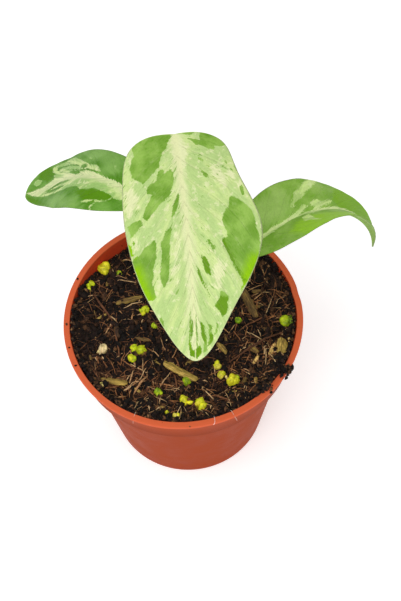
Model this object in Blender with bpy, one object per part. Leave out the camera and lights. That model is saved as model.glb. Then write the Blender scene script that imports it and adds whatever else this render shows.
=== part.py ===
"""Young variegated monstera growing in a small round nursery pot.

Units are metres and +Z is up. The origin is the centre of the pot's foot, on the
surface that the pot stands on, and the plant's front faces -Y. The pot is a turned
plastic shell, the soil fills it up to just under the rim, one stem with three leaf
stalks stands in a plain hole in the soil, and each stalk carries one blade.
"""
import math
import random
from typing import NamedTuple

import bmesh
import bpy
import numpy as np

# Clearance that touching pieces keep to each other
GAP = 0.0003

# Pot
POT_HEIGHT = 0.0755
RIM_RADIUS = 0.0450
RIM_WIDTH = 0.0023
RIM_THICKNESS = 0.0016
RIM_ROUNDING = 0.0005
COLLAR_HEIGHT = 0.0155
COLLAR_RADIUS_TOP = 0.0434
COLLAR_RADIUS_BOTTOM = 0.0419
LEDGE_DROP = 0.0008
WALL_RADIUS_TOP = 0.0393
WALL = 0.0011
FOOT_RADIUS = 0.0311
FOOT_WIDTH = 0.0030
FOOT_HEIGHT = 0.0018
FOOT_ROUNDING = 0.0012
FLOOR_THICKNESS = 0.0014
FLOOR_TOP = FOOT_HEIGHT + FLOOR_THICKNESS
CENTRE_PAD_RADIUS = 0.0070
POT_SEGMENTS = 56
DRAIN_HOLES = 8
DRAIN_RADIUS = 0.0033
DRAIN_CIRCLE = 0.0215
DRAIN_SIDES = 16
CUT_PAST = 0.0020

# Soil
SOIL_LEVEL = POT_HEIGHT - 0.0072
SOIL_MOUND = 0.0012
SOIL_RINGS = 17
SOIL_SEGMENTS = 60
SOIL_SEED = 12
CRUMB_COUNT = 260
CRUMB_HEIGHT = 0.0011
CRUMB_SPREAD = (0.0014, 0.0036)
DEEP_PLACE = (-0.025, -0.027)
DEEP_PLACE_DEPTH = 0.0030
DEEP_PLACE_SPREAD = 0.0035
BANK_HEIGHT = 0.0046
BANK_CIRCLE = 0.0417
BANK_SPREAD = 0.0050
LOW_SIDE_ANGLE = 118.0
LOW_SIDE_SPREAD = 34.0
HEAP_ANGLES = (-50.0, -39.0, -28.0)
HEAP_HEIGHTS = (0.0012, 0.0026, 0.0018)
HEAP_CIRCLE = 0.0395
HEAP_SPREAD = 0.0052
SPILL_CRUMBS = 7
SPILL_CIRCLE = 0.0416
SPILL_ANGLES = (-50.0, -28.0)
SPILL_SIZES = (0.0023, 0.0031)
SPILL_CORNERS = 14
SPILL_FLATNESS = 0.8
STEM_HOLE_SIDES = 24

# Granules of fertiliser and grit: centre x, centre y, radius, then how flat they are
GRANULES = (
    (-0.0289, 0.0278, 0.0026),
    (-0.0346, 0.0191, 0.0016),
    (-0.0230, 0.0248, 0.0012),
    (-0.0178, -0.0089, 0.0023),
    (-0.0206, -0.0118, 0.0017),
    (-0.0310, -0.0082, 0.0019),
    (-0.0145, 0.0076, 0.0016),
    (-0.0112, 0.0004, 0.0012),
    (-0.0010, -0.0237, 0.0018),
    (-0.0015, -0.0318, 0.0020),
    (-0.0107, -0.0270, 0.0016),
    (0.0042, -0.0347, 0.0026),
    (-0.0078, -0.0357, 0.0012),
    (-0.0043, -0.0390, 0.0014),
    (0.0172, -0.0248, 0.0022),
    (0.0116, -0.0181, 0.0016),
    (0.0130, -0.0215, 0.0013),
    (0.0388, -0.0030, 0.0022),
)
GRANULE_WIDTHS = (0.75, 1.0)
GRANULE_HEIGHTS = (0.75, 0.9)

# Bark chips: one end, the other end, width
BARK_CHIPS = (
    ((-0.0085, -0.0155), (0.0037, -0.0236), 0.0029),
    ((-0.0325, -0.0209), (-0.0222, -0.0227), 0.0026),
    ((0.0235, 0.0132), (0.0277, 0.0006), 0.0034),
    ((0.0306, -0.0103), (0.0348, -0.0166), 0.0028),
    ((0.0236, -0.0140), (0.0280, -0.0188), 0.0024),
    ((-0.0253, 0.0112), (-0.0148, 0.0134), 0.0022),
    ((-0.0060, 0.0190), (0.0030, 0.0250), 0.0028),
    ((0.0120, 0.0290), (0.0200, 0.0230), 0.0026),
)
CHIP_THICKNESS = 0.0016
CHIP_ABOVE_SOIL = 0.0010
CHIP_WARP = 0.0002
# Its outline: place along the chip, share of the width there
CHIP_OUTLINE = ((0.0, 0.35), (0.3, 1.0), (0.75, 0.9), (1.0, 0.3))
CHIP_RAGGEDNESS = (0.8, 1.1)

# Twigs and roots: one end, the other end, radius at the middle
TWIGS = (
    ((-0.0209, -0.0265), (-0.0146, -0.0196), 0.00055),
    ((0.0172, -0.0185), (0.0385, -0.0091), 0.00050),
    ((-0.0351, 0.0163), (-0.0267, 0.0048), 0.00060),
    ((-0.0270, 0.0048), (-0.0290, -0.0060), 0.00045),
    ((0.0080, -0.0300), (0.0150, -0.0330), 0.00050),
    ((0.0200, -0.0050), (0.0330, 0.0020), 0.00050),
)
TWIG_SIDES = 4
TWIG_POINTS = 6
TWIG_SWAY = 0.08
TWIG_END_DEPTH = 0.0012
TWIG_END_THICKNESS = 0.7
LOOSE_TWIGS = 14
LOOSE_TWIG_CIRCLE = (0.012, 0.034)
LOOSE_TWIG_LENGTHS = (0.004, 0.009)
LOOSE_TWIG_RADII = (0.00035, 0.0005)

# Stem and stalks
STEM_RADIUS = 0.0034
STEM_ABOVE_SOIL = 0.0150
STEM_BELOW_SOIL = 0.0160
STEM_SWELLING = 0.0005
STEM_JOINTS = (0.0045, 0.0100)
STEM_JOINT_REACH = 0.0012
# The rounded end of the stem: depth under its top, share of the radius there
STEM_END = ((0.0020, 0.92), (0.0006, 0.70), (0.0, 0.40))
STEM_SIDES = 16
STALK_SIDES = 10
STALK_STEPS = 22
STALK_RADIUS = 0.00145
STALK_RADIUS_TOP = 0.0012
SHEATH_RADIUS = 0.0023
SHEATH_SHARE = 0.28
KNEE_SWELLING = 0.0003
KNEE_PLACE = 0.88
KNEE_SPREAD = 0.06

# Blades
BLADE_THICKNESS = 0.0007
MIDRIB_DEPTH = 0.0016
MIDRIB_SPREAD = 0.0011
MIDRIB_FADE = 0.8
BLADE_ROWS = 28
BLADE_COLUMNS = 12
COLUMN_CROWDING = 1.3
LOBE_POWER = 1.5
LOBE_FADE = 0.15
WAVE_POWER = 3
WAVE_OFFSET = 2.0
WIDTH_ANGLES = tuple(math.radians(30.0 * step) for step in range(7))


class Leaf(NamedTuple):
    """One blade: where its midrib runs, how it turns over, and how wide it is.

    Headings, pitches and rolls are degrees at the base, the middle and the tip.
    Folds and curls are values at the base and at the tip, in degrees and in radians
    per metre. The half widths belong to WIDTH_ANGLES without its two ends. The stalk's
    seat is measured forward and down from the blade's base, and its approach is the
    angle, in degrees, between the stalk's last stretch and the midrib.
    """

    name: str
    base: tuple
    length: float
    headings: tuple
    pitches: tuple
    rolls: tuple
    folds: tuple
    curls: tuple
    lobe: float
    right_widths: tuple
    left_widths: tuple
    wave: float
    wave_count: float
    stalk_start: tuple
    stalk_lean: tuple
    stalk_seat: tuple
    stalk_approach: float
    stalk_reach: float
    colour: tuple


LEAVES = (
    Leaf(
        name="centre",
        base=(0.0016, 0.0147, POT_HEIGHT + 0.0974),
        length=0.0770,
        headings=(-86.0, -88.7, -94.5),
        pitches=(-2.5, -16.8, -62.4),
        rolls=(-3.0, 7.9, -0.6),
        folds=(0.0, 4.7),
        curls=(-9.0, -8.0),
        lobe=0.0029,
        right_widths=(0.0146, 0.0193, 0.0193, 0.0136, 0.0056),
        left_widths=(0.0146, 0.0185, 0.0232, 0.0136, 0.0056),
        wave=0.0005,
        wave_count=3.5,
        stalk_start=(0.0004, 0.0006, 0.0120),
        stalk_lean=(0.0010, 0.0060, 0.0500),
        stalk_seat=(0.0020, 0.0029),
        stalk_approach=75.0,
        stalk_reach=0.0120,
        colour=(0.60, 0.76, 0.38),
    ),
    Leaf(
        name="left",
        base=(-0.0115, 0.0122, POT_HEIGHT + 0.0640),
        length=0.0603,
        headings=(143.0, 150.0, 174.8),
        pitches=(34.7, -41.8, -33.5),
        rolls=(-0.9, -1.3, -3.9),
        folds=(0.0, 2.0),
        curls=(-9.4, -8.3),
        lobe=0.0029,
        right_widths=(0.0068, 0.0116, 0.0123, 0.0105, 0.0064),
        left_widths=(0.0070, 0.0135, 0.0141, 0.0096, 0.0044),
        wave=0.0003,
        wave_count=2.5,
        stalk_start=(-0.0012, 0.0008, 0.0080),
        stalk_lean=(-0.0030, 0.0030, 0.0300),
        stalk_seat=(-0.0008, 0.0012),
        stalk_approach=15.0,
        stalk_reach=0.0090,
        colour=(0.33, 0.56, 0.14),
    ),
    Leaf(
        name="right",
        base=(0.0223, -0.0001, POT_HEIGHT + 0.0453),
        length=0.0750,
        headings=(27.7, 16.5, -30.4),
        pitches=(27.3, -28.4, -90.9),
        rolls=(8.9, -21.8, -10.9),
        folds=(32.3, 11.3),
        curls=(-7.4, -3.4),
        lobe=0.0029,
        right_widths=(0.0071, 0.0147, 0.0120, 0.0064, 0.0014),
        left_widths=(0.0076, 0.0139, 0.0132, 0.0070, 0.0015),
        wave=0.0003,
        wave_count=2.5,
        stalk_start=(0.0014, -0.0004, 0.0040),
        stalk_lean=(0.0050, 0.0000, 0.0220),
        stalk_seat=(-0.0008, 0.0012),
        stalk_approach=15.0,
        stalk_reach=0.0100,
        colour=(0.30, 0.54, 0.12),
    ),
)

# Colours of the other pieces, and how rough each surface is
POT_COLOUR = (0.62, 0.17, 0.08)
SOIL_COLOUR = (0.035, 0.022, 0.015)
STEM_COLOUR = (0.38, 0.55, 0.16)
POT_ROUGHNESS = 0.50
SOIL_ROUGHNESS = 0.95
STEM_ROUGHNESS = 0.45
BLADE_ROUGHNESS = 0.42
CREASE_ANGLE = math.radians(40.0)


def clear_scene():
    """Removes every object that the startup scene holds."""
    for obj in list(bpy.data.objects):
        bpy.data.objects.remove(obj, do_unlink=True)


def make_material(name, colour, roughness):
    """Returns a plain Principled material of one colour."""
    material = bpy.data.materials.new(name)
    material.use_nodes = True
    shader = material.node_tree.nodes["Principled BSDF"]
    shader.inputs["Base Color"].default_value = (*colour, 1.0)
    shader.inputs["Roughness"].default_value = roughness
    shader.inputs["Metallic"].default_value = 0.0
    return material


def make_object(name, points, faces, parent=None):
    """Returns a mesh object made of the given points and faces."""
    mesh = bpy.data.meshes.new(name)
    mesh.from_pydata([tuple(map(float, point)) for point in points], [], faces)
    mesh.validate()
    mesh.update()
    obj = bpy.data.objects.new(name, mesh)
    bpy.context.scene.collection.objects.link(obj)
    obj.parent = parent
    return obj


def dress(obj, colour, roughness):
    """Gives the object a material of its own and smooth shading with crisp edges."""
    obj.data.materials.clear()
    obj.data.materials.append(make_material(obj.name, colour, roughness))
    obj.data.shade_smooth()
    obj.data.set_sharp_from_angle(angle=CREASE_ANGLE)


def hide_helper(obj):
    """Keeps a cutter or a guide out of the finished part."""
    obj.hide_render = True
    obj.display_type = "WIRE"


def add_boolean(obj, name, operation, other):
    """Adds an exact Boolean modifier against one other object."""
    modifier = obj.modifiers.new(name, "BOOLEAN")
    modifier.operation = operation
    modifier.object = other


def apply_modifiers(obj):
    """Replaces the object's mesh by the one that its modifiers make."""
    graph = bpy.context.evaluated_depsgraph_get()
    finished = bpy.data.meshes.new_from_object(obj.evaluated_get(graph))
    obj.modifiers.clear()
    obj.data = finished


def join_pieces(base, pieces):
    """Fuses the pieces into the base with one Boolean union, and removes them."""
    group = bpy.data.collections.new(base.name + "_pieces")
    bpy.context.scene.collection.children.link(group)
    for piece in pieces:
        bpy.context.scene.collection.objects.unlink(piece)
        group.objects.link(piece)
    modifier = base.modifiers.new("fuse", "BOOLEAN")
    modifier.operation = "UNION"
    modifier.operand_type = "COLLECTION"
    modifier.collection = group
    modifier.solver = "MANIFOLD"
    apply_modifiers(base)
    for piece in pieces:
        bpy.data.objects.remove(piece, do_unlink=True)
    bpy.data.collections.remove(group)


def turned(name, profile, segments, parent=None):
    """Turns a profile about Z. It runs from the axis, out and round, to the axis again.

    Ring k holds the profile's point k at every angle, so a face joins two
    neighbouring rings at two neighbouring angles, and a fan closes each end.
    """
    angles = np.arange(segments) * (2 * math.pi / segments)
    radii = np.array([radius for radius, _ in profile[1:-1]])
    heights = np.array([height for _, height in profile[1:-1]])
    rings = np.stack(
        [np.outer(radii, np.cos(angles)), np.outer(radii, np.sin(angles))], axis=-1
    )
    levels = np.repeat(heights[:, None], segments, axis=1)[..., None]
    points = np.concatenate([rings, levels], axis=-1).reshape(-1, 3)
    first = (0.0, 0.0, profile[0][1])
    last = (0.0, 0.0, profile[-1][1])
    points = np.vstack([points, first, last])
    low, high = len(points) - 2, len(points) - 1
    faces = []
    for ring in range(len(radii) - 1):
        for side in range(segments):
            right = (side + 1) % segments
            a, b = ring * segments + side, ring * segments + right
            faces.append((a, b, b + segments, a + segments))
    top = (len(radii) - 1) * segments
    for side in range(segments):
        right = (side + 1) % segments
        faces.append((low, right, side))
        faces.append((high, top + side, top + right))
    return make_object(name, points, faces, parent)


def tube(name, path, radii, sides, parent=None):
    """Returns a closed round bar along a path, with one radius for each path point.

    Each ring stands square to the path: its first direction is the previous ring's,
    with the part along the new tangent taken off, so that the bar doesn't twist.
    """
    path = np.asarray(path, float)
    tangents = np.gradient(path, axis=0)
    tangents /= np.linalg.norm(tangents, axis=1)[:, None]
    across = np.cross(tangents[0], (0.0, 1.0, 0.03))
    angles = np.arange(sides) * (2 * math.pi / sides)
    points = []
    for centre, tangent, radius in zip(path, tangents, radii):
        across = across - tangent * (across @ tangent)
        across /= np.linalg.norm(across)
        upward = np.cross(tangent, across)
        for angle in angles:
            offset = across * math.cos(angle) + upward * math.sin(angle)
            points.append(centre + offset * radius)
    faces = [tuple(reversed(range(sides)))]
    for ring in range(len(path) - 1):
        for side in range(sides):
            right = (side + 1) % sides
            a, b = ring * sides + side, ring * sides + right
            faces.append((a, b, b + sides, a + sides))
    faces.append(tuple(range((len(path) - 1) * sides, len(path) * sides)))
    return make_object(name, points, faces, parent)


def bezier(start, start_handle, end_handle, end, steps):
    """Returns points along a cubic Bezier curve."""
    t = np.linspace(0.0, 1.0, steps)[:, None]
    start, start_handle = np.array(start), np.array(start_handle)
    end_handle, end = np.array(end_handle), np.array(end)
    return (
        start * (1 - t) ** 3
        + 3 * start_handle * t * (1 - t) ** 2
        + 3 * end_handle * t**2 * (1 - t)
        + end * t**3
    )


def through_three(values, t):
    """Returns the parabola with the given values at t = 0, one half and 1."""
    start, middle, end = values
    return (
        start * (1 - t) * (1 - 2 * t)
        + middle * 4 * t * (1 - t)
        + end * t * (2 * t - 1)
    )


def smooth_curve(stations, values, at):
    """Returns the natural cubic spline through values at the stations.

    The unknowns are its second derivatives. They are zero at both ends, and equal
    slopes on the two sides of each inner station give the other equations.
    """
    x, y = np.asarray(stations, float), np.asarray(values, float)
    count, step = len(x), np.diff(x)
    matrix, known = np.eye(count), np.zeros(count)
    for i in range(1, count - 1):
        matrix[i, i - 1 : i + 2] = step[i - 1], 2 * (step[i - 1] + step[i]), step[i]
        slope_change = (y[i + 1] - y[i]) / step[i] - (y[i] - y[i - 1]) / step[i - 1]
        known[i] = 6 * slope_change
    bend = np.linalg.solve(matrix, known)
    k = np.clip(np.searchsorted(x, at) - 1, 0, count - 2)
    before, after, span = at - x[k], x[k + 1] - at, step[k]
    cubic = (bend[k] * after**3 + bend[k + 1] * before**3) / (6 * span)
    left = (y[k] / span - bend[k] * span / 6) * after
    right = (y[k + 1] / span - bend[k + 1] * span / 6) * before
    return cubic + left + right


def midrib_line(leaf, steps=240, lead=0.2):
    """Returns distances along the midrib and its points, from a little behind the base.

    The direction turns smoothly from the base to the tip, and the points are the
    running sum of short steps in that direction.
    """
    along = np.linspace(-lead * leaf.length, leaf.length, steps)
    direction = midrib_direction(leaf, along)
    step = along[1] - along[0]
    moves = (direction[:-1] + direction[1:]) * (step / 2)
    points = np.vstack([np.zeros(3), np.cumsum(moves, axis=0)])
    base = [np.interp(0.0, along, points[:, axis]) for axis in range(3)]
    return along, points - base + np.array(leaf.base)


def midrib_direction(leaf, along):
    """Returns the unit direction of the midrib at distances along it."""
    t = np.clip(along / leaf.length, 0.0, 1.0)
    heading = np.radians(through_three(leaf.headings, t))
    pitch = np.radians(through_three(leaf.pitches, t))
    level = np.cos(pitch)
    return np.stack(
        [level * np.cos(heading), level * np.sin(heading), np.sin(pitch)], axis=-1
    )


def blade_frame(leaf, along):
    """Returns the midrib's points, and the sideways and upward directions there.

    The level direction lies across the heading and the upright one square to both.
    The roll turns this pair about the midrib.
    """
    line, points = midrib_line(leaf)
    spine = np.stack(
        [np.interp(along, line, points[:, axis]) for axis in range(3)], axis=-1
    )
    station = np.clip(along / leaf.length, 0.0, 1.0)
    heading = np.radians(through_three(leaf.headings, station))
    level = np.stack([-np.sin(heading), np.cos(heading), 0 * heading], axis=-1)
    upright = np.cross(midrib_direction(leaf, along), level)
    roll = np.radians(through_three(leaf.rolls, station))[..., None]
    sideways = level * np.cos(roll) + upright * np.sin(roll)
    upward = upright * np.cos(roll) - level * np.sin(roll)
    return spine, sideways, upward


def bent_section(leaf, along, out):
    """Returns how far a half cross-section reaches sideways and up, and its slope.

    At a distance s from the midrib the slope is fold + curl * s, so the half is an arc
    of a circle, and its two reaches are the integrals of the slope's cosine and sine.
    """
    station = np.clip(along / leaf.length, 0.0, 1.0)
    fold = np.radians(leaf.folds[0] * (1 - station) + leaf.folds[1] * station)
    curl = leaf.curls[0] * (1 - station) + leaf.curls[1] * station
    slope = fold + curl * np.abs(out)
    sideways = (np.sin(slope) - np.sin(fold)) / curl
    up = (np.cos(fold) - np.cos(slope)) / curl
    return sideways, up, slope


def blade_surface(leaf, turn, across):
    """Returns points and normals of the blade's upper face.

    turn runs from 0 at the base to pi at the tip, and across from -1 at the right
    margin to 1 at the left one. Near the base the margins reach back past the stalk,
    which makes the two rounded lobes, and a sine wave lifts and lowers the margins.
    """
    t = (1 - np.cos(turn)) / 2
    right = smooth_curve(WIDTH_ANGLES, (0, *leaf.right_widths, 0), turn)
    left = smooth_curve(WIDTH_ANGLES, (0, *leaf.left_widths, 0), turn)
    out = np.where(across < 0, right, left) * across
    reach_back = 2 * leaf.lobe * np.abs(across) ** LOBE_POWER * np.sin(turn)
    along = leaf.length * t - reach_back * np.exp(-t / LOBE_FADE)
    spine, sideways, upward = blade_frame(leaf, along)
    reach, lift, slope = bent_section(leaf, along, out)
    wave_turn = 2 * math.pi * leaf.wave_count * t + WAVE_OFFSET * (across > 0)
    wave = leaf.wave * np.abs(across) ** WAVE_POWER * np.sin(wave_turn) * np.sin(turn)
    side = np.sign(across)
    points = (
        spine
        + sideways * (side * reach)[..., None]
        + upward * (lift + wave)[..., None]
    )
    tilt = (side * slope)[..., None]
    return points, upward * np.cos(tilt) - sideways * np.sin(tilt)


def blade_grid(leaf):
    """Returns the grid of upper points, and the lower points under them.

    The lower face lies one thickness below, and further below along the midrib,
    where the rib stands out and fades towards the tip.
    """
    turn = np.linspace(0.0, math.pi, BLADE_ROWS + 1)[:, None] * np.ones(BLADE_COLUMNS + 1)
    even = np.linspace(-1.0, 1.0, BLADE_COLUMNS + 1)
    across = np.sign(even) * np.abs(even) ** COLUMN_CROWDING * np.ones((BLADE_ROWS + 1, 1))
    top, normals = blade_surface(leaf, turn, across)
    middle = BLADE_COLUMNS // 2
    out = np.linalg.norm(top - top[:, middle : middle + 1], axis=-1)
    t = (1 - np.cos(turn)) / 2
    rib = MIDRIB_DEPTH * (1 - t) ** MIDRIB_FADE * np.exp(-((out / MIDRIB_SPREAD) ** 2))
    return top, top - normals * (BLADE_THICKNESS + rib)[..., None]


def sheet_numbers(first, base, tip):
    """Returns the point number at each place of one face's grid.

    The inner rows count up from the first number, and the two end rows shrink to the
    base point and the tip point.
    """
    width = BLADE_COLUMNS + 1
    inner = np.arange((BLADE_ROWS - 1) * width).reshape(BLADE_ROWS - 1, width) + first
    return np.vstack([np.full((1, width), base), inner, np.full((1, width), tip)]).tolist()


def sheet_faces(top, low):
    """Returns the triangles of both faces, split alike, and quads along the margins."""
    faces = []
    for row in range(BLADE_ROWS):
        for column in range(BLADE_COLUMNS):
            a, b = (row, column), (row, column + 1)
            c, d = (row + 1, column + 1), (row + 1, column)
            if column < BLADE_COLUMNS // 2:
                halves = ((a, d, c), (a, c, b))
            else:
                halves = ((a, d, b), (b, d, c))
            for corners in halves:
                upper = tuple(top[i][j] for i, j in corners)
                if len(set(upper)) == 3:
                    faces.append(upper)
                    faces.append(tuple(low[i][j] for i, j in reversed(corners)))
    for row in range(BLADE_ROWS):
        for edge in (0, BLADE_COLUMNS):
            quad = (top[row][edge], low[row][edge], low[row + 1][edge], top[row + 1][edge])
            faces.append(quad if edge == 0 else tuple(reversed(quad)))
    return faces


def make_blade(leaf, parent):
    """Builds one blade as a closed thin sheet, pointed at its base and its tip."""
    top, low = blade_grid(leaf)
    inner = [top[1:-1].reshape(-1, 3), low[1:-1].reshape(-1, 3)]
    middle = BLADE_COLUMNS // 2
    ends = [top[0, middle], top[-1, middle], low[0, middle], low[-1, middle]]
    count = len(inner[0])
    top_numbers = sheet_numbers(0, 2 * count, 2 * count + 1)
    low_numbers = sheet_numbers(count, 2 * count + 2, 2 * count + 3)
    faces = sheet_faces(top_numbers, low_numbers)
    obj = make_object("leaf_" + leaf.name, np.vstack([*inner, ends]), faces, parent)
    dress(obj, leaf.colour, BLADE_ROUGHNESS)
    return obj


def stalk_path(leaf):
    """Returns the stalk's line from inside the stem to its seat at the blade's base.

    The seat keeps a small gap to the thick end of the midrib.
    """
    spine, _, upward = blade_frame(leaf, np.array([0.0]))
    forward = midrib_direction(leaf, np.array([0.0]))[0]
    seat_forward, seat_down = leaf.stalk_seat
    seat = spine[0] + forward * seat_forward - upward[0] * seat_down
    angle = math.radians(leaf.stalk_approach)
    approach = forward * math.cos(angle) + upward[0] * math.sin(angle)
    start = np.array(leaf.stalk_start) + (0.0, 0.0, SOIL_LEVEL)
    lean = np.array(leaf.stalk_lean)
    return bezier(start, start + lean, seat - approach * leaf.stalk_reach, seat, STALK_STEPS)


def make_stalk(leaf):
    """Builds one leaf stalk: a sheath at its foot, slim above, with a knee at its top."""
    path = stalk_path(leaf)
    t = np.linspace(0.0, 1.0, len(path))
    taper = STALK_RADIUS + (STALK_RADIUS_TOP - STALK_RADIUS) * t
    sheath = (SHEATH_RADIUS - STALK_RADIUS) * np.exp(-((t / SHEATH_SHARE) ** 2))
    knee = KNEE_SWELLING * np.exp(-(((t - KNEE_PLACE) / KNEE_SPREAD) ** 2))
    return tube("stalk_" + leaf.name, path, taper + sheath + knee, STALK_SIDES)


def make_stem(parent):
    """Builds the short jointed stem with its three stalks fused on as one body."""
    section = [(-STEM_BELOW_SOIL, STEM_RADIUS), (0.0, STEM_RADIUS)]
    for joint in STEM_JOINTS:
        section.append((joint - STEM_JOINT_REACH, STEM_RADIUS))
        section.append((joint, STEM_RADIUS + STEM_SWELLING))
        section.append((joint + STEM_JOINT_REACH, STEM_RADIUS))
    for depth, share in STEM_END:
        section.append((STEM_ABOVE_SOIL - depth, STEM_RADIUS * share))
    path = [(0.0, 0.0, SOIL_LEVEL + height) for height, _ in section]
    stem = tube("stem", path, [radius for _, radius in section], STEM_SIDES, parent)
    join_pieces(stem, [make_stalk(leaf) for leaf in LEAVES])
    dress(stem, STEM_COLOUR, STEM_ROUGHNESS)
    return stem


def inner_wall(clearance=0.0):
    """Returns the section of the pot's inside, from the rim down to the floor.

    A clearance moves every point that far towards the axis, and that far up.
    """
    ledge_top = POT_HEIGHT - COLLAR_HEIGHT + WALL
    radii = (
        RIM_RADIUS - RIM_WIDTH,
        COLLAR_RADIUS_TOP - WALL,
        COLLAR_RADIUS_BOTTOM - WALL,
        WALL_RADIUS_TOP - WALL,
        FOOT_RADIUS - WALL,
    )
    heights = (
        POT_HEIGHT - RIM_ROUNDING,
        POT_HEIGHT - RIM_THICKNESS - RIM_ROUNDING,
        ledge_top,
        ledge_top - LEDGE_DROP,
        FLOOR_TOP,
    )
    section = zip(radii, heights)
    return [(radius - clearance, height + clearance) for radius, height in section]


def pot_profile():
    """Returns the pot's section from under the floor, up outside and down inside.

    A flat pad at the middle of the floor and the ring foot stand on the same level.
    """
    collar_bottom = POT_HEIGHT - COLLAR_HEIGHT
    foot_edge = FOOT_RADIUS - FOOT_ROUNDING
    half_turn = math.sin(math.radians(45.0))
    return [
        (0.0, 0.0),
        (CENTRE_PAD_RADIUS, 0.0),
        (CENTRE_PAD_RADIUS + FOOT_HEIGHT, FOOT_HEIGHT),
        (FOOT_RADIUS - FOOT_WIDTH - FOOT_HEIGHT, FOOT_HEIGHT),
        (FOOT_RADIUS - FOOT_WIDTH, 0.0),
        (foot_edge, 0.0),
        (foot_edge + FOOT_ROUNDING * half_turn, FOOT_ROUNDING * (1 - half_turn)),
        (FOOT_RADIUS, FOOT_ROUNDING),
        (WALL_RADIUS_TOP, collar_bottom - LEDGE_DROP),
        (COLLAR_RADIUS_BOTTOM, collar_bottom),
        (COLLAR_RADIUS_TOP, POT_HEIGHT - RIM_THICKNESS - RIM_ROUNDING),
        (RIM_RADIUS, POT_HEIGHT - RIM_THICKNESS),
        (RIM_RADIUS, POT_HEIGHT - RIM_ROUNDING),
        (RIM_RADIUS - RIM_ROUNDING, POT_HEIGHT),
        (RIM_RADIUS - RIM_WIDTH + RIM_ROUNDING, POT_HEIGHT),
        *inner_wall(),
        (0.0, FLOOR_TOP),
    ]


def make_pot(parent):
    """Builds the pot as a turned shell with a ring of drain holes in its floor."""
    pot = turned("pot", pot_profile(), POT_SEGMENTS, parent)
    for index in range(DRAIN_HOLES):
        angle = 2 * math.pi * (index + 0.5) / DRAIN_HOLES
        x, y = DRAIN_CIRCLE * math.cos(angle), DRAIN_CIRCLE * math.sin(angle)
        path = [(x, y, -CUT_PAST), (x, y, FLOOR_TOP + CUT_PAST)]
        cutter = tube(f"drain_{index}", path, (DRAIN_RADIUS, DRAIN_RADIUS), DRAIN_SIDES)
        hide_helper(cutter)
        add_boolean(pot, cutter.name, "DIFFERENCE", cutter)
    dress(pot, POT_COLOUR, POT_ROUGHNESS)
    return pot


def soil_bumps():
    """Returns the place, spread and height of each seeded crumb of the soil."""
    draw = random.Random(SOIL_SEED)
    bumps = []
    for _ in range(CRUMB_COUNT):
        angle = draw.uniform(0.0, 2 * math.pi)
        radius = RIM_RADIUS * math.sqrt(draw.uniform(0.0, 1.0))
        spread = draw.uniform(*CRUMB_SPREAD)
        height = CRUMB_HEIGHT * draw.uniform(-0.9, 1.2)
        bumps.append((radius * math.cos(angle), radius * math.sin(angle), spread, height))
    return np.array(bumps)


def soil_height(x, y, bumps):
    """Returns the height of the soil's surface.

    It is a low mound, plus a Gaussian bump or dip for each crumb, a bank along the
    pot's wall except at its low side at the back, a deep place at the left front, and
    a heap at the right front that reaches the rim in three humps.
    """
    x, y = np.asarray(x, float), np.asarray(y, float)
    mound = SOIL_LEVEL + SOIL_MOUND * (1 - (x**2 + y**2) / RIM_RADIUS**2)
    from_bump = (x[..., None] - bumps[:, 0]) ** 2 + (y[..., None] - bumps[:, 1]) ** 2
    crumbs = (bumps[:, 3] * np.exp(-from_bump / bumps[:, 2] ** 2)).sum(axis=-1)
    from_wall = BANK_CIRCLE - np.minimum(np.hypot(x, y), BANK_CIRCLE)
    from_low_side = np.mod(np.degrees(np.arctan2(y, x)) - LOW_SIDE_ANGLE + 180.0, 360.0) - 180.0
    bank = BANK_HEIGHT * (1 - np.exp(-((from_low_side / LOW_SIDE_SPREAD) ** 4)))
    bank = bank * np.exp(-((from_wall / BANK_SPREAD) ** 2))
    from_deep = (x - DEEP_PLACE[0]) ** 2 + (y - DEEP_PLACE[1]) ** 2
    deep = DEEP_PLACE_DEPTH * np.exp(-from_deep / DEEP_PLACE_SPREAD**2)
    heap = np.zeros_like(x)
    for degrees, height in zip(HEAP_ANGLES, HEAP_HEIGHTS):
        angle = math.radians(degrees)
        from_top = (x - HEAP_CIRCLE * math.cos(angle)) ** 2
        from_top = from_top + (y - HEAP_CIRCLE * math.sin(angle)) ** 2
        heap = heap + height * np.exp(-from_top / HEAP_SPREAD**2)
    return mound + crumbs + bank - deep + heap


def make_soil_body(bumps):
    """Builds the soil as a rough-topped disc, wider and deeper than the pot's inside."""
    radii = np.linspace(0.0, RIM_RADIUS, SOIL_RINGS + 1)[1:]
    angles = np.arange(SOIL_SEGMENTS) * (2 * math.pi / SOIL_SEGMENTS)
    x, y = np.outer(radii, np.cos(angles)), np.outer(radii, np.sin(angles))
    top = np.stack([x, y, soil_height(x, y, bumps)], axis=-1)
    rim = top[-1].copy()
    rim[:, 2] = 0.0
    centre_height = float(soil_height(0.0, 0.0, bumps))
    centres = np.array([(0.0, 0.0, centre_height), (0.0, 0.0, 0.0)])
    points = np.vstack([top.reshape(-1, 3), rim, centres])
    under = SOIL_RINGS * SOIL_SEGMENTS
    high, low = len(points) - 2, len(points) - 1
    faces = []
    for ring in range(SOIL_RINGS):
        for side in range(SOIL_SEGMENTS):
            right = (side + 1) % SOIL_SEGMENTS
            a, b = ring * SOIL_SEGMENTS + side, ring * SOIL_SEGMENTS + right
            c, d = b + SOIL_SEGMENTS, a + SOIL_SEGMENTS
            faces.append((a, d, c))
            faces.append((a, c, b))
    for side in range(SOIL_SEGMENTS):
        right = (side + 1) % SOIL_SEGMENTS
        faces.append((high, side, right))
        faces.append((low, under + right, under + side))
    return make_object("soil", points, faces)


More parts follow.
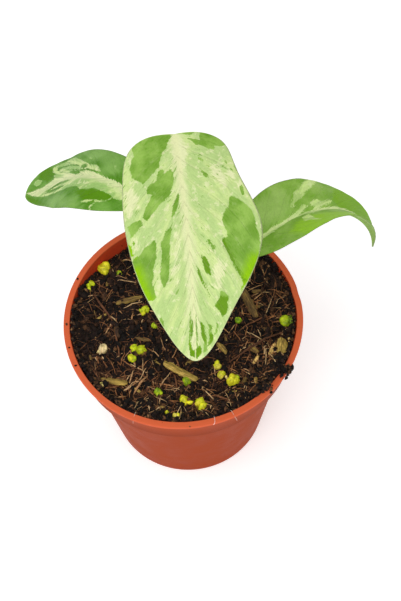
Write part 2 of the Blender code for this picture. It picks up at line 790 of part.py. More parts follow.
def make_granule(place, radius, bumps, draw):
    """Builds one twenty-sided granule, sunk by half in the soil."""
    golden = (1 + math.sqrt(5)) / 2
    corners = [(0, a, b * golden) for a in (-1, 1) for b in (-1, 1)]
    corners += [(a, b * golden, 0) for a in (-1, 1) for b in (-1, 1)]
    corners += [(b * golden, 0, a) for a in (-1, 1) for b in (-1, 1)]
    turn = draw.uniform(0.0, math.pi)
    size = np.array([1.0, draw.uniform(*GRANULE_WIDTHS), draw.uniform(*GRANULE_HEIGHTS)])
    cloud = np.array(corners) / math.hypot(1.0, golden) * size * radius
    x = cloud[:, 0] * math.cos(turn) - cloud[:, 1] * math.sin(turn)
    y = cloud[:, 0] * math.sin(turn) + cloud[:, 1] * math.cos(turn)
    ground = float(soil_height(*place, bumps))
    points = np.stack([x + place[0], y + place[1], cloud[:, 2] + ground], axis=-1)
    return hull_object("granule", points)


def hull_object(name, points):
    """Returns the convex hull of the points as a closed object."""
    obj = make_object(name, points, [])
    mesh = bmesh.new()
    mesh.from_mesh(obj.data)
    hull = bmesh.ops.convex_hull(mesh, input=mesh.verts)
    loose = [item for item in hull["geom_interior"] if isinstance(item, bmesh.types.BMVert)]
    bmesh.ops.delete(mesh, geom=loose, context="VERTS")
    bmesh.ops.recalc_face_normals(mesh, faces=mesh.faces)
    mesh.to_mesh(obj.data)
    mesh.free()
    return obj


def make_chip(start, end, width, bumps, draw):
    """Builds one splinter of bark: a flat ragged slab that lies half in the soil."""
    start, end = np.array(start), np.array(end)
    along = (end - start) / np.linalg.norm(end - start)
    across = np.array([-along[1], along[0]])
    corners = []
    for t, share in CHIP_OUTLINE:
        for side in (-1, 1):
            reach = side * share * width / 2 * draw.uniform(*CHIP_RAGGEDNESS)
            corners.append(start + (end - start) * t + across * reach)
    corners = np.array(corners)
    level = soil_height(corners[:, 0], corners[:, 1], bumps).mean()
    top = np.column_stack([corners, np.full(len(corners), level + CHIP_ABOVE_SOIL)])
    low = np.column_stack([corners, np.full(len(corners), level - CHIP_THICKNESS)])
    top[:, 2] += [draw.uniform(-CHIP_WARP, CHIP_WARP) for _ in corners]
    return hull_object("chip", np.vstack([top, low]))


def make_twig(start, end, radius, bumps, draw):
    """Builds one twig that arches over the soil with both ends sunk in it."""
    t = np.linspace(0.0, 1.0, TWIG_POINTS)
    start, end = np.array(start), np.array(end)
    sway = draw.uniform(-TWIG_SWAY, TWIG_SWAY) * np.linalg.norm(end - start)
    across = np.array([start[1] - end[1], end[0] - start[0]])
    across /= np.linalg.norm(across)
    flat = start + np.outer(t, end - start) + np.outer(np.sin(math.pi * t), across) * sway
    ground = soil_height(flat[:, 0], flat[:, 1], bumps)
    path = np.column_stack([flat, np.maximum(ground, ground.mean()) + radius])
    path[0, 2], path[-1, 2] = ground[0] - TWIG_END_DEPTH, ground[-1] - TWIG_END_DEPTH
    radii = radius * (TWIG_END_THICKNESS + (1 - TWIG_END_THICKNESS) * np.sin(math.pi * t))
    return tube("twig", path, radii, TWIG_SIDES)


def loose_twig(draw):
    """Draws the two ends and the radius of one more twig."""
    angle, circle = draw.uniform(0.0, 2 * math.pi), draw.uniform(*LOOSE_TWIG_CIRCLE)
    x, y = circle * math.cos(angle), circle * math.sin(angle)
    heading, length = draw.uniform(0.0, math.pi), draw.uniform(*LOOSE_TWIG_LENGTHS)
    dx, dy = length * math.cos(heading) / 2, length * math.sin(heading) / 2
    return (x - dx, y - dy), (x + dx, y + dy), draw.uniform(*LOOSE_TWIG_RADII)


def spill_crumb(index, draw):
    """Builds one crumb that lies over the rim, its inner half sunk in the heap."""
    step = (SPILL_ANGLES[1] - SPILL_ANGLES[0]) / (SPILL_CRUMBS - 1)
    angle = math.radians(SPILL_ANGLES[0] + step * index + draw.uniform(-1.0, 1.0))
    size = draw.uniform(*SPILL_SIZES)
    centre = np.array([math.cos(angle), math.sin(angle), 0.0]) * SPILL_CIRCLE
    centre[2] = POT_HEIGHT
    cloud = np.array([[draw.gauss(0.0, 1.0) for _ in range(3)] for _ in range(SPILL_CORNERS)])
    cloud /= np.linalg.norm(cloud, axis=1)[:, None]
    return hull_object("spill", centre + cloud * size * (1.0, 1.0, SPILL_FLATNESS))


def soil_space():
    """Returns the section of the space that soil may fill, clear of the pot.

    Inside the pot it follows the wall, and above the rim it opens out.
    """
    wall = inner_wall(GAP)
    outside, above = RIM_RADIUS * 1.3, POT_HEIGHT * 1.5
    return [
        (0.0, FLOOR_TOP + GAP),
        *reversed(wall),
        (wall[0][0], POT_HEIGHT + GAP),
        (outside, POT_HEIGHT + GAP),
        (outside, above),
        (0.0, above),
    ]


def make_soil(parent):
    """Builds the soil with its crumbs, bark, twigs and granules as one body."""
    bumps = soil_bumps()
    draw = random.Random(SOIL_SEED + 1)
    soil = make_soil_body(bumps)
    soil.parent = parent
    pieces = [make_granule((x, y), radius, bumps, draw) for x, y, radius in GRANULES]
    pieces += [make_chip(start, end, width, bumps, draw) for start, end, width in BARK_CHIPS]
    pieces += [make_twig(start, end, radius, bumps, draw) for start, end, radius in TWIGS]
    pieces += [make_twig(*loose_twig(draw), bumps, draw) for _ in range(LOOSE_TWIGS)]
    pieces += [spill_crumb(index, draw) for index in range(SPILL_CRUMBS)]
    join_pieces(soil, pieces)
    space = turned("soil_space", soil_space(), POT_SEGMENTS)
    hide_helper(space)
    add_boolean(soil, "fit_pot", "INTERSECT", space)
    hole_radius = STEM_RADIUS + GAP
    depth = SOIL_LEVEL - STEM_BELOW_SOIL - GAP
    path = [(0.0, 0.0, depth), (0.0, 0.0, POT_HEIGHT + CUT_PAST)]
    hole = tube("stem_hole", path, (hole_radius, hole_radius), STEM_HOLE_SIDES)
    hide_helper(hole)
    add_boolean(soil, "stem_hole", "DIFFERENCE", hole)
    dress(soil, SOIL_COLOUR, SOIL_ROUGHNESS)
    return soil


def main():
    """Builds the potted plant under one empty at its origin."""
    clear_scene()
    origin = bpy.data.objects.new("potted_monstera", None)
    bpy.context.scene.collection.objects.link(origin)
    make_pot(origin)
    make_soil(origin)
    make_stem(origin)
    for leaf in LEAVES:
        make_blade(leaf, origin)


main()
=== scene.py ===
"""Looks of a young variegated monstera that grows in a small nursery pot.

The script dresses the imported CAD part. Units are metres, +Z is up, the origin is the
centre of the pot's foot, and the plant's front faces -Y. Sizes that the CAD source
fixes are repeated here, so every surface lies where its solid is.
"""

import logging
import math
import random
from dataclasses import dataclass, field
from enum import Enum
from typing import Optional, Union

import bmesh
import bpy
import numpy as np
from mathutils import Matrix


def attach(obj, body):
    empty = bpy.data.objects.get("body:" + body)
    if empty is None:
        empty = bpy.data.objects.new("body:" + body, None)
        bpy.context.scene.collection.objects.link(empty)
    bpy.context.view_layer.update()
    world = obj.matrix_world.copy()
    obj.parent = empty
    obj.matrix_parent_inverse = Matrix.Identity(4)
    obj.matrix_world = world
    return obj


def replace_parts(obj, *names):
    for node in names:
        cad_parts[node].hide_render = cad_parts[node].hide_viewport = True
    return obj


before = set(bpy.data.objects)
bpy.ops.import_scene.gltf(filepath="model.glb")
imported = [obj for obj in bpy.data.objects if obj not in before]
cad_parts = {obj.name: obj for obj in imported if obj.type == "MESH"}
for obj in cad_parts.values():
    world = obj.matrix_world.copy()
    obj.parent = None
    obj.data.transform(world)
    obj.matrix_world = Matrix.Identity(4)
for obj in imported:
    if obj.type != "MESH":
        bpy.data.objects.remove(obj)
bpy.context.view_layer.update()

LOG = logging.getLogger("potted_monstera")
BODY = "root"

Array = np.ndarray
Draw = np.random.Generator
Pair = tuple[float, float]
Triple = tuple[float, float, float]
Colour = tuple[float, float, float, float]
Rows = tuple[tuple[float, ...], ...]
Corners = tuple[int, ...]
Faces = list[Array]
Shape = tuple[Array, Faces, dict[str, Array]]
Material = bpy.types.Material
Piece = bpy.types.Object
Node = bpy.types.Node
Value = Union[bpy.types.NodeSocket, float, tuple]

MM = 0.001
TURN = 2 * math.pi
POT_HEIGHT = 0.0755
SOIL_LEVEL = POT_HEIGHT - 0.0072


def srgb(red: float, green: float, blue: float) -> Colour:
    """Turns screen colour numbers from 0 to 255 into linear light with full opacity."""
    screen = np.array([red, green, blue]) / 255.0
    light = np.where(screen <= 0.04045, screen / 12.92, ((screen + 0.055) / 1.055) ** 2.4)
    return (*light.tolist(), 1.0)


# Shapes as arrays


def columns(*values: Array) -> Array:
    """Returns arrays side by side, as the last axis of one array."""
    return np.stack(values, axis=-1)


def bell(distance: Array, spread: float) -> Array:
    """Returns a bell curve: e to the power of minus (distance / spread) squared."""
    return np.exp(-((distance / spread) ** 2))


def round_bell(x: Array, y: Array, middle: Pair, spread: float) -> Array:
    """Returns a bell curve of the distance to a place."""
    return np.exp(-((x - middle[0]) ** 2 + (y - middle[1]) ** 2) / spread**2)


def rise(value: Array, low: float, width: float) -> Array:
    """Returns a straight rise from 0 at low to 1 at low + width, level on both sides."""
    return np.clip((value - low) / width, 0.0, 1.0)


def on_circle(radius: Array, angle: Array) -> tuple[Array, Array]:
    """Returns the places at distances from the axis and angles about it."""
    return radius * np.cos(angle), radius * np.sin(angle)


def crowded(draw: Draw, limits: Pair, power: float, count: int) -> Array:
    """Returns random numbers between limits, crowded towards the first by a power."""
    return limits[0] + (limits[1] - limits[0]) * draw.random(count) ** power


def enclosed_volume(points: Array, faces: Faces) -> float:
    """Sums the tetrahedra between the origin and every triangle of a closed surface.

    Args:
        points: The points, one to a row.
        faces: Arrays of triangles or quads.

    Returns:
        The volume, negative where the faces point inwards.
    """
    total = 0.0
    for corners in faces:
        first = points[corners[:, 0]]
        for k in range(1, corners.shape[1] - 1):
            second, third = points[corners[:, k]], points[corners[:, k + 1]]
            total += float((first * np.cross(second, third)).sum()) / 6
    return total


def loft(rings: Array) -> tuple[Array, Faces]:
    """Closes stacks of rings into shells.

    Neighbouring rings are joined by quads, and the middle of each end ring becomes a
    point that a fan of triangles joins to that ring.

    Args:
        rings: Points as (shells, rings, points in a ring, 3).

    Returns:
        The points of all the shells, and their faces, which point outwards.
    """
    shells, rows, around, _ = rings.shape
    points = with_ends(rings)
    here = np.arange(rows * around).reshape(rows, around)
    beside = np.roll(here, -1, axis=1)
    quads = columns(here[:-1], beside[:-1], beside[1:], here[1:])
    first, last = np.full(around, rows * around), np.full(around, rows * around + 1)
    fans = np.concatenate(
        [
            columns(first, beside[0], here[0]),
            columns(last, here[-1], beside[-1]),
        ]
    )
    shift = (np.arange(shells) * (rows * around + 2))[:, None, None]
    faces = [(quads.reshape(-1, 4) + shift).reshape(-1, 4), (fans + shift).reshape(-1, 3)]
    if enclosed_volume(points, faces) < 0:
        faces = [corners[:, ::-1] for corners in faces]
    return points, faces


def with_ends(values: Array) -> Array:
    """Lists the values of stacked rings in the order of the points that loft makes.

    Args:
        values: Numbers or vectors as (shells, rings, points in a ring, size).

    Returns:
        One row for each point, with the mean of each end ring after its shell's rings.
    """
    shells, _, _, size = values.shape
    ends = values[:, (0, -1)].mean(axis=2)
    return np.concatenate([values.reshape(shells, -1, size), ends], axis=1).reshape(-1, size)


def tube_rings(paths: Array, radii: Array, sides: int, square_to: Array) -> Array:
    """Puts a round ring square to the path at each of its points.

    The ring's first direction is the cross product of the path's tangent with a fixed
    direction, and its second one is the cross product of the tangent with the first.

    Args:
        paths: Path points as (tubes, points, 3).
        radii: The radius at each path point, as (tubes, points).
        sides: The number of points in a ring.
        square_to: One direction for each tube that its path never follows.

    Returns:
        Ring points as (tubes, points, sides, 3).
    """
    tangents = np.gradient(paths, axis=1)
    tangents /= np.linalg.norm(tangents, axis=-1, keepdims=True)
    across = np.cross(tangents, square_to[:, None, :])
    across /= np.linalg.norm(across, axis=-1, keepdims=True)
    upward = np.cross(tangents, across)
    angles = np.arange(sides) * (TURN / sides)
    turn = (
        across[:, :, None] * np.cos(angles)[:, None]
        + upward[:, :, None] * np.sin(angles)[:, None]
    )
    return paths[:, :, None] + turn * radii[:, :, None, None]


def turned_rings(profile: Array, segments: int) -> Array:
    """Turns a profile about Z, each point going round at its own radius and height.

    Args:
        profile: Radius and height of each point.
        segments: The number of points in a ring.

    Returns:
        Ring points as (1, profile points, segments, 3).
    """
    x, y = on_circle(profile[:, :1], np.arange(segments) * (TURN / segments))
    return columns(x, y, profile[:, 1:] + 0 * x)[None]


def softened(corners: Array, reach: float, steps: int) -> Array:
    """Rounds each corner of an open line with a parabola tangent to both its sides.

    Args:
        corners: The corner points.
        reach: How far from the corner the rounding starts, at most 0.45 of a side.
        steps: The number of points on each rounding.

    Returns:
        The rounded line, with the two end points kept.
    """
    middle = corners[1:-1]
    sides = np.diff(corners, axis=0)
    lengths = np.linalg.norm(sides, axis=1, keepdims=True)
    start = middle - sides[:-1] / lengths[:-1] * np.minimum(reach, 0.45 * lengths[:-1])
    stop = middle + sides[1:] / lengths[1:] * np.minimum(reach, 0.45 * lengths[1:])
    t = np.linspace(0.0, 1.0, steps)[None, :, None]
    curve = start[:, None] * (1 - t) ** 2 + 2 * middle[:, None] * t * (1 - t) + stop[:, None] * t**2
    return np.vstack([corners[:1], curve.reshape(-1, corners.shape[1]), corners[-1:]])


def bezier(start: Array, start_handle: Array, end_handle: Array, end: Array, steps: int) -> Array:
    """Returns points of the cubic Bezier curve between two points with their handles."""
    t = np.linspace(0.0, 1.0, steps)[:, None]
    return (
        start * (1 - t) ** 3
        + 3 * start_handle * t * (1 - t) ** 2
        + 3 * end_handle * t**2 * (1 - t)
        + end * t**3
    )


def through_three(values: tuple, t: Array) -> Array:
    """Returns the parabola with the given values at t = 0, one half and 1."""
    start, middle, end = values
    return start * (1 - t) * (1 - 2 * t) + middle * 4 * t * (1 - t) + end * t * (2 * t - 1)


def smooth_curve(stations: Array, values: Array, at: Array) -> Array:
    """Returns the natural cubic spline through values at the stations.

    The unknowns are its second derivatives, zero at both ends. Equal slopes on the two
    sides of each inner station give the other equations.

    Args:
        stations: Where the values are given, in rising order.
        values: The values there.
        at: Where the curve is wanted.

    Returns:
        The curve's values.
    """
    count, step = len(stations), np.diff(stations)
    matrix, known = np.eye(count), np.zeros(count)
    slopes = np.diff(values) / step
    for i in range(1, count - 1):
        matrix[i, i - 1 : i + 2] = step[i - 1], 2 * (step[i - 1] + step[i]), step[i]
        known[i] = 6 * (slopes[i] - slopes[i - 1])
    bend = np.linalg.solve(matrix, known)
    k = np.clip(np.searchsorted(stations, at) - 1, 0, count - 2)
    before, after, span = at - stations[k], stations[k + 1] - at, step[k]
    cubic = (bend[k] * after**3 + bend[k + 1] * before**3) / (6 * span)
    left = (values[k] / span - bend[k] * span / 6) * after
    right = (values[k + 1] / span - bend[k + 1] * span / 6) * before
    return cubic + left + right


def value_noise(x: Array, y: Array, cell: float, seed: int) -> Array:
    """Returns smooth noise from -1 to 1.

    Random values sit on the corners of a square net, and smooth steps blend them.

    Args:
        x: First coordinates.
        y: Second coordinates.
        cell: The side of the net's squares.
        seed: The seed of the random values.

    Returns:
        The noise at each place.
    """
    size = 64
    table = np.random.default_rng(seed).uniform(-1.0, 1.0, (size, size))
    u, v = x / cell, y / cell
    i, j = np.floor(u).astype(int), np.floor(v).astype(int)
    across, up = u - i, v - j
    across, up = across**2 * (3 - 2 * across), up**2 * (3 - 2 * up)
    low = table[i % size, j % size] * (1 - across) + table[(i + 1) % size, j % size] * across
    j = j + 1
    high = table[i % size, j % size] * (1 - across) + table[(i + 1) % size, j % size] * across
    return low * (1 - up) + high * up


def side_distance(x: Array, y: Array, start: Array, end: Array) -> Array:
    """Returns the distance of places to a straight side.

    Each place's foot on the side's line is moved to the nearer end if it lies past it.

    Args:
        x: First coordinates of the places.
        y: Second coordinates of the places.
        start: The side's first end.
        end: The side's other end.

    Returns:
        The distances.
    """
    (ax, ay), (dx, dy) = start, end - start
    share = np.clip(((x - ax) * dx + (y - ay) * dy) / (dx**2 + dy**2 + 1e-18), 0.0, 1.0)
    return np.hypot(x - ax - share * dx, y - ay - share * dy)


def inside_distance(x: Array, y: Array, outline: Array) -> Array:
    """Returns the distance to a closed outline, positive inside it.

    The distance is the least one to any of its sides. A place is inside if a level
    line from it crosses the outline an odd number of times.

    Args:
        x: First coordinates of the places.
        y: Second coordinates of the places.
        outline: The outline's corners.

    Returns:
        The signed distance at each place.
    """
    nearest, inside = np.full(x.shape, np.inf), np.zeros(x.shape, bool)
    for start, end in zip(outline, np.roll(outline, -1, axis=0)):
        nearest = np.minimum(nearest, side_distance(x, y, start, end))
        (ax, ay), (dx, dy) = start, end - start
        if dy:
            inside ^= ((ay > y) != (end[1] > y)) & (x < dx * (y - ay) / dy + ax)
    return np.where(inside, nearest, -nearest)


def ball(subdivisions: int) -> tuple[Array, Array]:
    """Returns the points and triangles of a ball of radius 1.

    Args:
        subdivisions: 1 for twenty faces, and four times as many for each step more.

    Returns:
        The points and the triangles.
    """
    mesh = bmesh.new()
    bmesh.ops.create_icosphere(mesh, subdivisions=subdivisions, radius=1.0)
    mesh.verts.index_update()
    points = np.array([tuple(vert.co) for vert in mesh.verts])
    faces = np.array([[vert.index for vert in face.verts] for face in mesh.faces])
    mesh.free()
    return points, faces


def random_turns(count: int, draw: Draw) -> Array:
    """Returns rotation matrices that turn every way equally often.

    Each one comes from a random unit quaternion (w, x, y, z).

    Args:
        count: The number of matrices.
        draw: The random numbers.

    Returns:
        The matrices as (count, 3, 3).
    """
    quaternion = draw.normal(size=(4, count))
    w, x, y, z = quaternion / np.linalg.norm(quaternion, axis=0)
    rows = [
        [1 - 2 * (y * y + z * z), 2 * (x * y - w * z), 2 * (x * z + w * y)],
        [2 * (x * y + w * z), 1 - 2 * (x * x + z * z), 2 * (y * z - w * x)],
        [2 * (x * z - w * y), 2 * (y * z + w * x), 1 - 2 * (x * x + y * y)],
    ]
    return np.moveaxis(np.array(rows), -1, 0)


def new_object(name: str, data: bpy.types.ID) -> Piece:
    """Puts a new object with the given data into the scene."""
    obj = bpy.data.objects.new(name, data)
    bpy.context.scene.collection.objects.link(obj)
    return obj


def make_piece(
    name: str,
    points: Array,
    faces: Faces,
    material: Material,
    attributes: Optional[dict[str, Array]] = None,
    crease: Optional[float] = None,
) -> Piece:
    """Makes a mesh object of the part, dresses it and lets it ride on the part's body.

    Args:
        name: The piece's name.
        points: The points, one to a row.
        faces: Arrays of triangles or quads.
        material: The material of the whole piece.
        attributes: Named values at the points, as numbers or as rows of three.
        crease: The angle in degrees above which an edge stays sharp.

    Returns:
        The new object.
    """
    mesh = bpy.data.meshes.new(name)
    loops = np.concatenate([corners.ravel() for corners in faces]).astype(np.int32)
    sizes = np.concatenate([np.full(len(corners), corners.shape[1]) for corners in faces])
    starts = np.concatenate([[0], np.cumsum(sizes)[:-1]]).astype(np.int32)
    mesh.vertices.add(len(points))
    mesh.vertices.foreach_set("co", points.astype(np.float32).ravel())
    mesh.loops.add(len(loops))
    mesh.loops.foreach_set("vertex_index", loops)
    mesh.polygons.add(len(sizes))
    mesh.polygons.foreach_set("loop_start", starts)
    mesh.update(calc_edges=True)
    mesh.validate()
    mesh.shade_smooth()
    if crease is not None:
        mesh.set_sharp_from_angle(angle=math.radians(crease))
    for key, values in (attributes or {}).items():
        flat = values.ndim == 1
        layer = mesh.attributes.new(key, "FLOAT" if flat else "FLOAT_VECTOR", "POINT")
        layer.data.foreach_set("value" if flat else "vector", values.astype(np.float32).ravel())
    mesh.materials.append(material)
    obj = new_object(name, mesh)
    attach(obj, BODY)
    triangles = int((sizes - 2).sum())
    LOG.info("%s: %d points, %d triangles", name, len(points), triangles)
    return obj


# Shader nodes


class Socket(Enum):
    """The kinds of socket that a node group has."""

    NUMBER = "NodeSocketFloat"
    VECTOR = "NodeSocketVector"
    COLOUR = "NodeSocketColor"


class Graph:
    """Adds nodes to one node tree.

    Each method takes sockets or plain values, and returns the socket that it makes.
    """

    def __init__(self, tree: bpy.types.NodeTree) -> None:
        """Keeps the tree that the nodes go into."""
        self.tree = tree

    def add(self, kind: str, inputs: dict, **settings: object) -> Node:
        """Adds one node.

        Args:
            kind: The node's type name.
            inputs: Socket names or numbers, and what feeds them.
            **settings: The node's own settings.

        Returns:
            The node.
        """
        node = self.tree.nodes.new(kind)
        for key, value in settings.items():
            setattr(node, key, value)
        for key, value in inputs.items():
            self.feed(node.inputs[key], value)
        return node

    def feed(self, socket: bpy.types.NodeSocket, value: Value) -> None:
        """Links a socket to another one, or gives it a plain value."""
        if isinstance(value, bpy.types.NodeSocket):
            self.tree.links.new(value, socket)
        else:
            socket.default_value = value

    def math(self, operation: str, first: Value, second: Value = 0.0, third: Value = 0.0) -> Value:
        """Returns the result of one arithmetic step."""
        inputs = {0: first, 1: second, 2: third}
        return self.add("ShaderNodeMath", inputs, operation=operation).outputs[0]

    def times(self, first: Value, second: Value) -> Value:
        """Returns the product of two numbers."""
        return self.math("MULTIPLY", first, second)

    def plus(self, first: Value, second: Value) -> Value:
        """Returns the sum of two numbers."""
        return self.math("ADD", first, second)

    def swung(self, base: Value, noise: Value, share: Value, mean: float = 0.5) -> Value:
        """Returns the base plus a share of how far the noise is from its mean."""
        return self.math("MULTIPLY_ADD", self.math("SUBTRACT", noise, mean), share, base)

    def step(
        self, value: Value, low: float, high: float, start: float = 0.0, stop: float = 1.0
    ) -> Value:
        """Returns a smooth step from start at low to stop at high."""
        inputs = {0: value, 1: low, 2: high, 3: start, 4: stop}
        return self.add("ShaderNodeMapRange", inputs, interpolation_type="SMOOTHSTEP").outputs[0]

    def wash(
        self, colour: Value, tint: Value, value: Value, low: float, high: float, most: float = 1.0
    ) -> Value:
        """Returns the colour under a tint whose share steps from 0 at low to most at high."""
        return self.mix(self.step(value, low, high, 0.0, most), colour, tint)

    def mix(self, share: Value, first: Value, second: Value) -> Value:
        """Returns the first colour, or the second one where the share is 1."""
        inputs = {0: share, 6: first, 7: second}
        return self.add("ShaderNodeMix", inputs, data_type="RGBA").outputs[2]

    def shade(self, colour: Value, factor: Value) -> Value:
        """Returns the colour with its light multiplied by a number."""
        inputs = {"Color": colour, "Value": factor}
        return self.add("ShaderNodeHueSaturation", inputs).outputs[0]

    def noise(self, vector: Value, scale: float, detail: float = 2.0, rough: float = 0.5) -> Value:
        """Returns cloudy noise from 0 to 1 at a number of cells per unit."""
        inputs = {"Vector": vector, "Scale": scale, "Detail": detail, "Roughness": rough}
        return self.add("ShaderNodeTexNoise", inputs).outputs[0]

    def vector(self, x: Value, y: Value, z: Value = 0.0) -> Value:
        """Returns a vector made of three numbers."""
        return self.add("ShaderNodeCombineXYZ", {0: x, 1: y, 2: z}).outputs[0]

    def parts(self, vector: Value) -> tuple:
        """Returns the three numbers of a vector."""
        return tuple(self.add("ShaderNodeSeparateXYZ", {0: vector}).outputs)

    def attribute(self, name: str) -> Node:
        """Returns the node that reads a named value of the mesh."""
        return self.add("ShaderNodeAttribute", {}, attribute_name=name)

    def place(self) -> Value:
        """Returns the place on the object, in millimetres."""
        return self.scaled(self.add("ShaderNodeTexCoord", {}).outputs["Object"], 1 / MM)

    def scaled(self, vector: Value, scale: Value) -> Value:
        """Returns a vector times a number."""
        inputs = {0: vector, 3: scale}
        return self.add("ShaderNodeVectorMath", inputs, operation="SCALE").outputs[0]

    def ramp(self, value: Value, stops: tuple[tuple[float, Colour], ...]) -> Value:
        """Returns a colour that changes along stops.

        Args:
            value: The number that picks the colour.
            stops: Places from 0 to 1 and the colours there.

        Returns:
            The colour.
        """
        node = self.add("ShaderNodeValToRGB", {0: value})
        elements = node.color_ramp.elements
        while len(elements) < len(stops):
            elements.new(0.5)
        for element, (place, colour) in zip(elements, stops):
            element.position, element.color = place, colour
        return node.outputs[0]


def new_group(name: str, inputs: dict[str, Socket], outputs: dict[str, Socket]) -> tuple:
    """Starts a shader node group.

    Args:
        name: The group's name.
        inputs: Names and kinds of its inputs.
        outputs: Names and kinds of its outputs.

    Returns:
        The group's tree, its graph, the sockets that bring the inputs, and the node
        that takes the outputs.
    """
    tree = bpy.data.node_groups.new(name, "ShaderNodeTree")
    for title, kind in inputs.items():
        tree.interface.new_socket(name=title, in_out="INPUT", socket_type=kind.value)
    for title, kind in outputs.items():
        tree.interface.new_socket(name=title, in_out="OUTPUT", socket_type=kind.value)
    graph = Graph(tree)
    return tree, graph, graph.add("NodeGroupInput", {}).outputs, graph.add("NodeGroupOutput", {})


def as_field(title: str) -> str:
    """Returns a socket's title in the way that fields and attributes are written."""
    return title.lower().replace(" ", "_")


def new_material(name: str, **constants: object) -> tuple:
    """Starts a material with one Principled shader.

    Args:
        name: The material's name.
        **constants: Socket names, with _ for a space, and their plain values.

    Returns:
        The material, its graph and the shader node.
    """
    material = bpy.data.materials.new(name)
    material.use_nodes = True
    shader = material.node_tree.nodes["Principled BSDF"]
    for key, value in constants.items():
        shader.inputs[key.replace("_", " ")].default_value = value
    return material, Graph(material.node_tree), shader


def paint(
    g: Graph, shader: Node, colour: Value, rough: Value, height: Value, depth: float, share: float
) -> None:
    """Feeds the Principled shader.

    Args:
        g: The material's graph.
        shader: The shader.
        colour: Its base colour.
        rough: Its roughness.
        height: Its relief, from 0 to 1.
        depth: The relief's depth in metres.
        share: How much of the relief shows.
    """
    bump = g.add("ShaderNodeBump", {"Height": height, "Distance": depth, "Strength": share})
    g.feed(shader.inputs["Base Color"], colour)
    g.feed(shader.inputs["Roughness"], rough)
    g.feed(shader.inputs["Normal"], bump.outputs[0])


# Leaves


class Tissue(Enum):
    """The kinds of colour zone on a blade."""

    GREEN = "green"
    PALE = "pale"
    LIME = "lime"
    MINT = "mint"
    DARK = "dark"
    CREAM = "cream"


@dataclass(frozen=True)
class Patch:
    """One colour zone, drawn on the flat blade.

    Its corners are pairs: the share of the length and the share of the half width, both
    in hundredths. The second one is negative on the blade's right side.
    """

    tissue: Tissue
    corners: Corners


@dataclass(frozen=True)
class Crease:
    """A line along which the blade is folded in, in the same hundredths as a patch. A narrow dark
    green band is painted along it: partly a green zone's edge, partly painted shade of the fold.
    """

    corners: Corners
    depth: float
    spread: float


